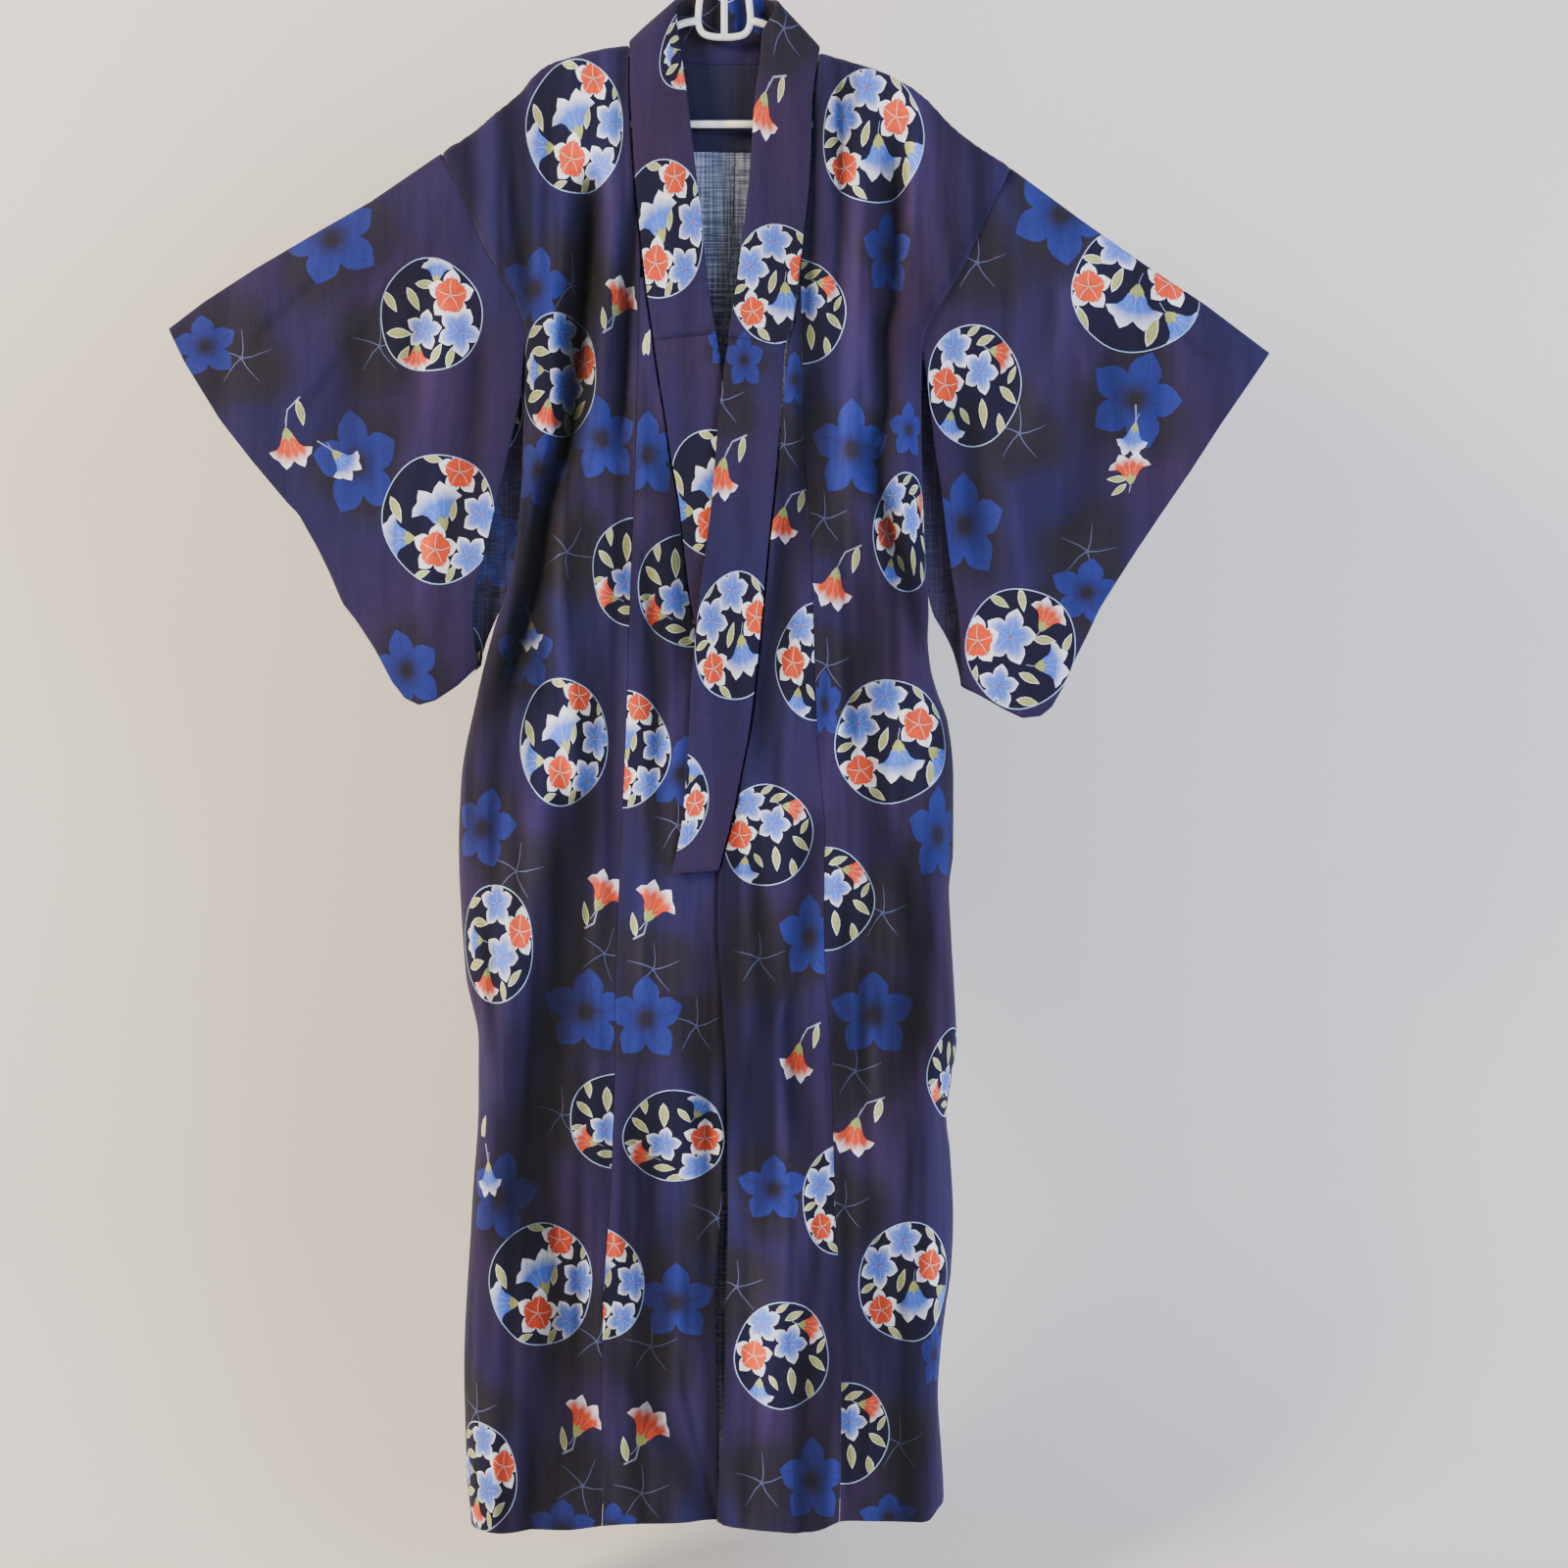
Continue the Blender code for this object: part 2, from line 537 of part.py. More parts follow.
# Lining patch inside the back neck, made from the panel's points moved in.
def neck_patch():
    rows, cols = 6, 9
    xs = np.linspace(-62.0, 66.0, cols)
    pts = np.zeros((rows, cols, 3))
    for j, x in enumerate(xs):
        side = "R" if x < float(SEAM_AT(200.0)) else "L"
        top = float(NECK_AT(x)) + 6.5
        for i, d in enumerate(np.linspace(top, 243.0, rows)):
            px, py, pd = body(side, "back", x, d)
            pts[i, j] = (float(px), float(py) - WALL - 0.45, -float(pd))
    inner = pts.copy()
    inner[..., 1] -= 0.9
    return grid_solid("neck_lining", pts, 0.9, DARK, inner=inner)


neck_patch()


# Sleeves: flat outlines with room between front and back.
def line_points(table, count):
    pts = np.array(table, float)
    seg = np.linalg.norm(np.diff(pts, axis=0), axis=1)
    along = np.concatenate([[0.0], np.cumsum(seg)])
    at = np.linspace(0.0, along[-1], count)
    return np.stack([np.interp(at, along, pts[:, 0]), np.interp(at, along, pts[:, 1])], axis=1)


def distance(x, d, table):
    """Distance from points to a polyline."""
    best = np.full(np.broadcast(x, d).shape, 1e9)
    for (ax, ad), (bx, bd) in zip(table[:-1], table[1:]):
        lx, ld = bx - ax, bd - ad
        t = np.clip(((x - ax) * lx + (d - ad) * ld) / (lx * lx + ld * ld), 0.0, 1.0)
        best = np.minimum(best, np.hypot(x - ax - t * lx, d - ad - t * ld))
    return best


SLEEVES = {"R": (R_TOP, R_CUFF, R_BOTTOM, R_INNER, R_INNER_BACK),
           "L": (L_TOP, L_CUFF, L_BOTTOM, L_INNER, L_INNER_BACK)}


def shut_line(side):
    cuff, bottom = SLEEVES[side][1], SLEEVES[side][2]
    return [p for p in cuff if p[1] >= CUFF_OPEN] + bottom[1:]


def sleeve_room(side, x, d):
    """Half the space inside the sleeve at a place."""
    top, cuff, bottom, inner, _ = SLEEVES[side]
    to_arm = distance(x, d, inner[:3])
    to_cuff = distance(x, d, cuff)
    share = to_arm / (to_arm + to_cuff + 1e-6)
    room = SLEEVE_ROOM * (1 - 0.55 * share)
    upper = np.sin(np.clip(distance(x, d, top) / 45.0, 0, 1) * math.pi / 2)
    lower = np.sin(np.clip(distance(x, d, shut_line(side)) / 55.0, 0, 1) * math.pi / 2)
    lower = np.maximum(lower, 0.0)
    return room * upper * lower


def sleeve_fold(x, d):
    total = np.zeros(np.broadcast(x, d).shape)
    for half, deep, (ax, ad), (bx, bd) in SLEEVE_FOLDS:
        lx, ld = bx - ax, bd - ad
        size = math.hypot(lx, ld)
        along = ((x - ax) * lx + (d - ad) * ld) / (size * size)
        off = ((x - ax) * ld - (d - ad) * lx) / size
        ends = ease(along / 0.25) * ease((1 - along) / 0.3)
        total = total + deep * ends * np.exp(-(off / half) ** 2)
    return total


def sleeve_y(side, layer, x, d):
    room = sleeve_room(side, x, d)
    fold = sleeve_fold(x, d) * np.clip(room / SLEEVE_ROOM, 0, 1)
    if layer == "front":
        return -(HALF_GAP + WALL + np.maximum(room - fold, 0.0))
    return HALF_GAP + WALL + np.maximum(room * 0.9 + fold * 0.6, 0.0)


def sleeve_grid(side, layer, cols, rows):
    top, cuff, bottom, inner, inner_back = SLEEVES[side]
    arm = inner if layer == "front" else inner_back
    a = line_points(arm, rows)
    c = line_points(cuff, rows)
    t = line_points(top, cols)
    b = line_points(bottom, cols)[::-1]
    u = np.linspace(0, 1, cols)[None, :, None]
    v = np.linspace(0, 1, rows)[:, None, None]
    flat = (1 - u) * a[:, None, :] + u * c[:, None, :] + (1 - v) * t[None] + v * b[None]
    flat = flat - ((1 - u) * (1 - v) * t[0] + u * (1 - v) * t[-1] + (1 - u) * v * b[0] + u * v * b[-1])
    sign = 1.0 if side == "R" else -1.0
    step = ease((flat[..., 1] - 235.0) / 10.0)
    flat[:, 0, 0] -= sign * GAP * 3.0 * step[:, 0]
    return flat


def sleeve(name, side, layer):
    flat = sleeve_grid(side, layer, 10, 13)
    x, d = flat[..., 0], flat[..., 1]
    y = sleeve_y(side, layer, x, d)
    pts = np.stack([x, y, -d], axis=-1)
    inner = pts.copy()
    inner[..., 1] += WALL if layer == "front" else -WALL
    return grid_solid(name, pts, WALL, NAVY, inner=inner)


for side, word in (("R", "right"), ("L", "left")):
    for layer in ("front", "back"):
        sleeve("sleeve_" + word + "_" + layer, side, layer)


# Hanger: round rods swept along their lines, joined into one body.
HOOK_ROD = 3.4
HANGER_PATHS = [
    # rod radius, closed, points (x, d)
    (3.6, True, [(-20, 60), (0, 58), (20, 60), (25, 68), (27, 90), (28.5, 104), (27, 114),
                 (22, 121), (12, 123.5), (0, 124), (-12, 123.5), (-22, 121), (-27, 114),
                 (-28.5, 104), (-27, 90), (-25, 68)]),
    (3.6, False, [(0, 58), (0, 90), (0, 124)]),
    (4.0, False, [(27, 106), (42, 109), (56, 117), (82, 133), (102, 147.5), (133, 157),
                  (160, 165.5), (184, 176), (195, 185), (199, 194), (193, 205), (178, 213),
                  (150, 216), (100, 217), (50, 217), (0, 217)]),
    (4.0, False, [(-27, 106), (-42, 108), (-56, 114), (-82, 132), (-102, 142.5), (-133, 148),
                  (-160, 155), (-182, 166), (-192, 176), (-197, 190), (-192, 203), (-178, 212),
                  (-150, 216), (-100, 217), (-50, 217), (0, 217)]),
]


def hook_path():
    inside = 18.5
    mid = inside + HOOK_ROD
    pts = [(0.0, 60.0), (0.0, 54.0), (1.5, 49.0), (6.0, 44.5)]
    for deg in range(55, -216, -18):
        a = math.radians(deg)
        pts.append((mid * math.cos(a), inside + mid * math.sin(a)))
    return pts


def tube(radius, closed, pts, sides=8):
    pts = np.array([(x, 0.0, -d) for x, d in pts])
    count = len(pts)
    verts = []
    faces = []
    for i in range(count):
        before = pts[i - 1] if closed or i > 0 else pts[i]
        after = pts[(i + 1) % count] if closed or i < count - 1 else pts[i]
        way = after - before
        way /= np.linalg.norm(way)
        out = np.array([way[2], 0.0, -way[0]])
        for k in range(sides):
            a = 2 * math.pi * (k + 0.5) / sides
            verts.append(pts[i] + out * radius * math.cos(a) + np.array([0, radius * math.sin(a), 0]))
    for i in range(count if closed else count - 1):
        j = (i + 1) % count
        for k in range(sides):
            m = (k + 1) % sides
            faces.append((i * sides + k, i * sides + m, j * sides + m, j * sides + k))
    if not closed:
        faces.append(tuple(range(sides - 1, -1, -1)))
        faces.append(tuple((count - 1) * sides + k for k in range(sides)))
    return np.array(verts) * MM, faces


def build_hanger():
    paths = HANGER_PATHS + [(HOOK_ROD, False, hook_path())]
    made = []
    for k, (radius, closed, pts) in enumerate(paths):
        verts, faces = tube(radius, closed, pts)
        made.append(make_object("rod_%d" % k, verts, faces, WHITE, 0.4))
    base = made[0]
    for other in made[1:]:
        mod = base.modifiers.new("join", "BOOLEAN")
        mod.operation = "UNION"
        mod.solver = "EXACT"
        mod.object = other
        bpy.context.view_layer.objects.active = base
        bpy.ops.object.modifier_apply(modifier=mod.name)
        bpy.data.objects.remove(other, do_unlink=True)
    base.name = "hanger"
    base.data.name = "hanger"
    return base


build_hanger()
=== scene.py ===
# Looks of a cotton yukata robe on a white plastic hanger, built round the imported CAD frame.
# Flat tables are in millimetres: x to the viewer's right, d down from the hook's bearing point.
import math

import bmesh
import bpy
import numpy as np
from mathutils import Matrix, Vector
from mathutils.geometry import delaunay_2d_cdt


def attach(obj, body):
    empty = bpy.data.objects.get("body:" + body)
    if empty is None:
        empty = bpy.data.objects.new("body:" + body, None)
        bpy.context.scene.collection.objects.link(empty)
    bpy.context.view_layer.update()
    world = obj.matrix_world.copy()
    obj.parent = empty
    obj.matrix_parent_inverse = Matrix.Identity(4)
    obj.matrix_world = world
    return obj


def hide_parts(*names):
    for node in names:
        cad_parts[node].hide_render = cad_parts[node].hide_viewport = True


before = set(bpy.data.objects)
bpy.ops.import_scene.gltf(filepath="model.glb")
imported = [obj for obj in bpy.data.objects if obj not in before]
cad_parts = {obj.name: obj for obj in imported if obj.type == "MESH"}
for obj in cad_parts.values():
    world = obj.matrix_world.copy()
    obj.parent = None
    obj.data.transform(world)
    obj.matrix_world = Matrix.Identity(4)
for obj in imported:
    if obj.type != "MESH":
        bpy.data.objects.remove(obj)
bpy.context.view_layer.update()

MM = 0.001
LAYERS = ("front", "back")


# Camera, backdrop and light
# The photo's frame is 1.664 m wide at the cloth, seen square on from about 2.2 m.
FRAME_WIDTH = 1.664
CAMERA_AWAY = 2.2
FRAME_X = 0.064
FRAME_Z = -0.9235
FLOOR_Z = -1.80
# Lights: name, place, aim, size, power, colour.
LIGHTS = [
    ("window", (-2.7, -1.7, 0.9), (0.0, 0.0, -0.8), 1.0, 178.0, "#ffecd4"),
    ("fill", (2.9, -2.6, -0.2), (0.2, 0.0, -0.9), 2.2, 185.0, "#c6d7ff"),
]
ROOM_COLOUR = "#f2f1ef"
ROOM_STRENGTH = 0.38
PLASTER = "#f1ebe1"


def hex_colour(text):
    """sRGB hex to a linear colour."""
    parts = [int(text[i:i + 2], 16) / 255 for i in (1, 3, 5)]
    return tuple(p / 12.92 if p <= 0.04045 else ((p + 0.055) / 1.055) ** 2.4 for p in parts)


def solid(text):
    """sRGB hex to a colour with full alpha, as the shader inputs take it."""
    return (*hex_colour(text), 1.0)


def mesh_object(name, verts, faces):
    mesh = bpy.data.meshes.new(name)
    mesh.from_pydata(verts, [], faces)
    obj = bpy.data.objects.new(name, mesh)
    bpy.context.collection.objects.link(obj)
    return obj


def new_material(name, rough):
    mat = bpy.data.materials.new(name)
    mat.use_nodes = True
    nodes = mat.node_tree.nodes
    shader = nodes["Principled BSDF"]
    shader.inputs["Roughness"].default_value = rough
    return mat, nodes, mat.node_tree.links, shader


def set_camera():
    data = bpy.data.cameras.new("photo_view")
    data.sensor_width = 36.0
    data.lens = 36.0 * CAMERA_AWAY / FRAME_WIDTH
    cam = bpy.data.objects.new("photo_view", data)
    cam.location = (FRAME_X, -CAMERA_AWAY - 0.02, FRAME_Z)
    cam.rotation_euler = (math.pi / 2, 0.0, 0.0)
    bpy.context.collection.objects.link(cam)
    bpy.context.scene.camera = cam


def sweep_backdrop():
    """Pale floor that rises into a plain wall behind."""
    near, far, bend, top, half = -4.5, 0.42, 0.35, 2.4, 5.0
    line = [(near, FLOOR_Z)]
    for k in range(13):
        a = math.radians(90.0 * k / 12)
        line.append((far - bend + bend * math.sin(a), FLOOR_Z + bend - bend * math.cos(a)))
    line.append((far, top))
    verts = [(x, y, z) for y, z in line for x in (-half, half)]
    faces = [(2 * i, 2 * i + 1, 2 * i + 3, 2 * i + 2) for i in range(len(line) - 1)]
    floor = mesh_object("backdrop", verts, faces)
    floor.data.shade_smooth()
    mat, nodes, links, shader = new_material("painted_plaster", 0.9)
    shader.inputs["Base Color"].default_value = solid(PLASTER)
    # Seen from behind, the wall lets the camera through, so the back of the robe shows.
    side = nodes.new("ShaderNodeNewGeometry")
    ray = nodes.new("ShaderNodeLightPath")
    both = nodes.new("ShaderNodeMath")
    both.operation = "MULTIPLY"
    links.new(side.outputs["Backfacing"], both.inputs[0])
    links.new(ray.outputs["Is Camera Ray"], both.inputs[1])
    clear = nodes.new("ShaderNodeBsdfTransparent")
    pick = nodes.new("ShaderNodeMixShader")
    links.new(both.outputs[0], pick.inputs[0])
    links.new(shader.outputs[0], pick.inputs[1])
    links.new(clear.outputs[0], pick.inputs[2])
    links.new(pick.outputs[0], nodes["Material Output"].inputs["Surface"])
    floor.data.materials.append(mat)


def area_light(name, place, aim, size, power, colour):
    data = bpy.data.lights.new(name, "AREA")
    data.size = size
    data.energy = power
    data.color = hex_colour(colour)
    lamp = bpy.data.objects.new(name, data)
    lamp.location = place
    lamp.rotation_euler = (Vector(aim) - Vector(place)).to_track_quat("-Z", "Y").to_euler()
    bpy.context.collection.objects.link(lamp)


def set_light():
    for light in LIGHTS:
        area_light(*light)
    world = bpy.data.worlds.new("soft_room")
    world.use_nodes = True
    back = world.node_tree.nodes["Background"]
    back.inputs["Color"].default_value = solid(ROOM_COLOUR)
    back.inputs["Strength"].default_value = ROOM_STRENGTH
    bpy.context.scene.world = world


set_camera()
sweep_backdrop()
set_light()


# Shape of the hanging cloth
# The same tables and rules as the solids, with finer creases added further down.

WALL = 1.3            # cloth wall
GAP = 0.3             # space left between sewn pieces
HALF_GAP = GAP / 2.0
COLLAR_HALF = 1.1     # half thickness of the folded collar band
SHOULDER_ROLL = 12.0  # how far the cloth rolls over the hanger arm
SLEEVE_ROOM = 10.0    # half the space inside the sleeve at the armhole
OVER_LIFT = 6.5       # how far the upper front lies in front of the lower one
NECK_PART = 112.0     # half width of the back's neck part, which has no shoulder roll
NECK_BLEND = 40.0     # width over which the shoulder roll comes in
COLLAR_END = 1015.0   # height of the collar's lower end
OKUMI_TOP = 386.0     # where the overlap panels start under the collar
LOW_ROW = 1700.0      # last flat row, before it is stretched to the hem line
HEM_REACH = 1700.0    # a fold that runs lower than this keeps its full depth to the hem
SHADE_REACH = 1690.0  # the same for the shading of a fold

# Outer line of the front and back panels: armhole seam, then side seam (d, x).
R_OUTER = [(248, -303), (341, -261), (450, -212), (580, -216), (674, -223), (759, -247),
           (835, -265), (921, -281), (986, -284), (1126, -276), (1198, -263), (1256, -263),
           (1381, -270), (1548, -278), (1646, -276), (1710, -271)]
L_OUTER = [(264, 307), (372, 256), (462, 211), (517, 210), (591, 212), (674, 216), (738, 219),
           (768, 218), (799, 221), (825, 228), (857, 239), (916, 245), (996, 245), (1036, 241),
           (1078, 243), (1174, 248), (1198, 249), (1233, 244), (1281, 238), (1317, 242),
           (1384, 245), (1444, 243), (1480, 238), (1528, 232), (1576, 229), (1646, 233),
           (1683, 235), (1710, 230)]
# Seam from the neck point down to the hem between front panel and overlap panel (d, x).
R_OKUMI = [(133, -102), (179, -101), (215, -100), (295, -94), (372, -89), (487, -91),
           (612, -94), (713, -98), (827, -101), (948, -106), (1031, -110), (1126, -113),
           (1233, -114), (1324, -117), (1392, -121), (1480, -126), (1576, -127),
           (1646, -125), (1710, -127)]
L_OKUMI = [(141, 103), (196, 96), (255, 94), (295, 91), (331, 87), (372, 82), (435, 83),
           (508, 84), (591, 87), (673, 93), (754, 95), (822, 97), (882, 100), (924, 103),
           (976, 107), (1069, 106), (1132, 108), (1198, 113), (1269, 115), (1305, 116),
           (1381, 118), (1456, 123), (1576, 124), (1710, 122)]
# Sewn edge and free edge of the collar band down each front (d, x).
R_COLLAR_OUT = [(135, -102), (179, -102), (215, -100), (295, -94), (362, -87), (404, -82),
                (446, -76), (489, -70), (531, -63), (574, -57), (638, -46), (701, -40),
                (768, -28), (840, -17), (924, -4), (1015, 9)]
R_COLLAR_IN = [(93, -51), (121, -50), (150, -46), (193, -40), (237, -35), (281, -30),
               (320, -25), (374, -20), (414, -15), (472, -3), (495, -1), (574, 9), (638, 18),
               (701, 25), (768, 38), (840, 48), (924, 61), (1015, 67)]
L_COLLAR_OUT = [(141, 103), (196, 96), (255, 94), (295, 91), (331, 87), (372, 82), (435, 74),
                (464, 66), (508, 63), (562, 59), (619, 54), (675, 48), (776, 39), (857, 30),
                (916, 19), (965, 9), (1015, -4)]
L_COLLAR_IN = [(93, 57), (112, 45), (128, 41), (150, 40), (179, 36), (208, 32), (244, 31),
               (281, 28), (320, 24), (361, 19), (414, 12), (445, 7), (495, -1), (549, -6),
               (633, -13), (681, -19), (717, -24), (755, -27), (786, -31), (827, -34),
               (890, -37), (963, -43), (995, -49), (1015, -54)]
# Free front edges of the overlap panels below the collar (d, x).
UNDER_EDGE = [(1015, 9), (1236, 4), (1392, -3), (1444, -7), (1508, -8), (1576, -5),
              (1646, -4), (1710, -6)]
OVER_EDGE = [(1015, -4), (1059, -6), (1111, -4), (1150, -1), (1222, 3), (1269, 4), (1381, 5),
             (1456, 3), (1576, 1), (1659, -5), (1710, -7)]
# Shoulder line from the neck point out to the top of the armhole (x, d).
R_SHOULDER = [(-330, 262), (-303, 248), (-272, 228), (-245, 206), (-217, 183), (-202, 164),
              (-189, 154), (-161, 145), (-133, 137), (-102, 133)]
L_SHOULDER = [(103, 141), (137, 151), (168, 161), (197, 176), (214, 189), (250, 225),
              (307, 264), (335, 282)]
# Hem line (x, d).
HEM = [(-300, 1711), (-244, 1710), (-204, 1708), (-157, 1705), (-128, 1701), (-99, 1699),
       (-52, 1698), (-8, 1696), (4, 1699), (56, 1703), (80, 1706), (100, 1704), (127, 1695),
       (185, 1698), (219, 1700), (235, 1690), (260, 1688)]
# Centre back seam (d, x) and the back neckline (x, d), (x, y).
BACK_SEAM = [(150, 9), (243, 11), (360, 7), (455, -3), (700, -6), (1710, -8)]
NECK_D = [(-102, 133), (-75, 142), (-40, 149), (0, 151), (40, 151), (75, 146), (103, 141)]
# Depth in front, depth behind, width of the rounded side, by height (d, mm).
FRONT_DEPTH = [(133, 11), (248, 14), (350, 19), (450, 23), (600, 31), (900, 39), (1300, 45),
               (1710, 49)]
BACK_DEPTH = [(133, 13), (248, 13), (350, 14), (450, 15), (600, 17), (900, 20), (1300, 23),
              (1710, 25)]
SIDE_ROUND = [(133, 16), (248, 18), (450, 24), (600, 34), (900, 44), (1300, 48), (1710, 50)]
# Open half space between front and back at the outer edge (d, mm).
EDGE_ROOM = [(133, 0.0), (248, 0.0), (262, 5.5), (285, 9.5), (310, 10.0), (450, 10.0),
             (520, 8.0), (570, 3.0), (600, 0.0), (1710, 0.0)]

# Front folds: half width, depth (a trough is above 0), then the line (d, x).
FRONT_FOLDS = [
    (15, 21, [(250, -138), (352, -144), (456, -154), (539, -163), (622, -186), (705, -198),
              (788, -221), (880, -243)]),
    (17, -8, [(215, -122), (300, -118), (400, -121), (500, -126), (590, -140), (680, -156)]),
    (9, 9, [(330, -102), (435, -107), (479, -109), (600, -111)]),
    (10, 5, [(520, -57), (646, -43), (729, -38), (840, -36)]),
    (9, 6, [(650, -111), (820, -115), (907, -117), (976, -116), (1059, -119), (1160, -123)]),
    (26, 9, [(900, -146), (986, -154), (1059, -167), (1166, -179), (1254, -186), (1314, -189),
             (1423, -184), (1519, -179), (1579, -186), (1720, -198)]),
    (20, -7, [(820, -186), (930, -196), (1060, -212), (1180, -226), (1300, -232)]),
    (10, 13, [(215, 182), (310, 183), (404, 180), (446, 171), (508, 173), (579, 164),
              (646, 175), (716, 199), (800, 212)]),
    (12, -6, [(240, 150), (340, 150), (470, 142), (600, 134), (740, 150)]),
    (6, 6, [(165, 101), (227, 97), (313, 95), (404, 91), (490, 87)]),
    (13, 8, [(456, 101), (528, 93), (591, 87), (674, 70), (757, 56), (840, 45), (940, 37)]),
    (15, 8, [(930, 103), (1007, 94), (1077, 86), (1166, 70), (1225, 76), (1284, 85),
             (1360, 92)]),
    (11, 5, [(985, 32), (1048, 39), (1137, 44), (1220, 50)]),
    (15, 7, [(945, 176), (1028, 194), (1108, 210), (1173, 205), (1260, 192)]),
    (13, 4, [(1110, -42), (1225, -27), (1298, -17), (1390, -10)]),
    (16, 6, [(1510, -112), (1589, -69), (1646, -35), (1720, -8)]),
    (22, 5, [(1330, 160), (1450, 168), (1580, 176), (1720, 184)]),
    (24, -5, [(1300, 40), (1450, 46), (1600, 52), (1720, 50)]),
]
BACK_FOLDS = [
    (16, 8, [(300, -150), (520, -158), (760, -176), (1000, -186), (1200, -190)]),
    (20, 7, [(420, 130), (640, 138), (900, 152), (1180, 160), (1400, 158)]),
    (14, -5, [(330, -96), (560, -104), (820, -112), (1100, -118)]),
    (18, 8, [(880, -90), (1100, -96), (1360, -104), (1720, -116)]),
    (22, 9, [(1000, 92), (1250, 86), (1500, 96), (1720, 104)]),
    (16, 5, [(560, 52), (760, 58), (940, 50), (1150, 44)]),
    (18, -5, [(1150, -186), (1400, -192), (1720, -198)]),
]
# Sleeve outlines (x, d): top fold, cuff, bottom round, inner edge front and back.
R_TOP = [(-303, 248), (-379, 300), (-430, 329), (-503, 372), (-557, 407), (-595, 436)]
R_CUFF = [(-595, 436), (-576, 474), (-539, 534), (-503, 580), (-466, 624), (-455, 635),
          (-437, 668), (-423, 697), (-409, 730), (-394, 749), (-375, 778), (-356, 814)]
R_BOTTOM = [(-356, 814), (-342, 832), (-327, 839), (-309, 834), (-285, 818), (-262, 795)]
R_INNER = [(-303, 248), (-261, 341), (-212, 450), (-216, 508), (-228, 562), (-248, 643),
           (-265, 716), (-268, 742), (-266, 778), (-262, 795)]
R_INNER_BACK = [(-303, 248), (-261, 341), (-212, 450), (-218, 508), (-221, 591), (-230, 674),
                (-247, 736), (-262, 795)]
L_TOP = [(307, 264), (383, 320), (450, 367), (515, 410), (584, 462)]
L_CUFF = [(584, 462), (529, 542), (498, 590), (465, 638), (444, 670), (424, 701), (402, 736),
          (389, 764), (376, 790), (363, 820)]
L_BOTTOM = [(363, 820), (351, 841), (339, 851), (319, 853), (300, 844), (274, 829), (255, 817)]
L_INNER = [(307, 264), (256, 372), (211, 462), (217, 494), (220, 526), (226, 574), (231, 605),
           (237, 653), (243, 701), (249, 733), (252, 764), (255, 817)]
L_INNER_BACK = [(307, 264), (256, 372), (211, 462), (216, 500), (217, 560), (222, 674),
                (229, 742), (246, 782), (255, 817)]
CUFF_OPEN = 650.0   # below this height the cuff edge is sewn shut
# Sleeve folds: half width, depth, start (x, d), end (x, d).
SLEEVE_FOLDS = [
    (16, 6, (-250, 400), (-300, 720)),
    (14, -4, (-290, 360), (-350, 700)),
    (22, 5, (-340, 330), (-440, 600)),
    (13, 6, (245, 470), (290, 760)),
    (12, -4, (402, 330), (306, 590)),
    (20, 5, (430, 400), (350, 760)),
]


def curve(table):
    """Smooth line through a table of (position, value), no overshoot."""
    px = np.array([row[0] for row in table], float)
    py = np.array([row[1] for row in table], float)
    step = np.diff(px)
    slope = np.diff(py) / step
    tang = np.zeros(len(px))
    for i in range(1, len(px) - 1):
        if slope[i - 1] * slope[i] > 0:
            w1 = 2 * step[i] + step[i - 1]
            w2 = step[i] + 2 * step[i - 1]
            tang[i] = (w1 + w2) / (w1 / slope[i - 1] + w2 / slope[i])
    tang[0] = slope[0]
    tang[-1] = slope[-1]

    def value(at):
        at = np.clip(np.asarray(at, float), px[0], px[-1])
        i = np.clip(np.searchsorted(px, at, side="right") - 1, 0, len(px) - 2)
        t = (at - px[i]) / step[i]
        a = py[i] * (1 + 2 * t) * (1 - t) ** 2 + py[i + 1] * t * t * (3 - 2 * t)
        b = step[i] * (tang[i] * t * (1 - t) ** 2 - tang[i + 1] * t * t * (1 - t))
        return a + b

    return value


OUTER = {"R": curve(R_OUTER), "L": curve(L_OUTER)}
OKUMI = {"R": curve(R_OKUMI), "L": curve(L_OKUMI)}
COLLAR_OUT = {"R": curve(R_COLLAR_OUT), "L": curve(L_COLLAR_OUT)}
COLLAR_IN = {"R": curve(R_COLLAR_IN), "L": curve(L_COLLAR_IN)}
FREE_EDGE = {"R": curve(UNDER_EDGE), "L": curve(OVER_EDGE)}
SHOULDER = {"R": curve(R_SHOULDER), "L": curve(L_SHOULDER)}
HEM_AT = curve(HEM)
SEAM_AT = curve(BACK_SEAM)
NECK_AT = curve(NECK_D)
DEPTH = {"front": curve(FRONT_DEPTH), "back": curve(BACK_DEPTH)}
ROUND_AT = curve(SIDE_ROUND)
ROOM_AT = curve(EDGE_ROOM)


def folds(table, width=1.0, depth=1.0):
    """Folds with a smooth line and its two ends: half width, depth, line, top, low."""
    return [(w * width, a * depth, curve(line), line[0][0], line[-1][0]) for w, a, line in table]


FOLDS = {"front": folds(FRONT_FOLDS), "back": folds(BACK_FOLDS)}


def ease(t):
    t = np.clip(t, 0.0, 1.0)
    return t * t * (3 - 2 * t)


def fold_depth(layer, x, d):
    """Sum of the troughs and ridges at a place on the body."""
    total = np.zeros(np.broadcast(x, d).shape)
    for half, deep, line, top, low in FOLDS[layer]:
        ends = np.minimum(ease((d - top) / 90.0), ease((low - d) / 110.0))
        if low > HEM_REACH:
            ends = ease((d - top) / 90.0)
        total = total + deep * ends * np.exp(-((x - line(d)) / half) ** 2)
    return total


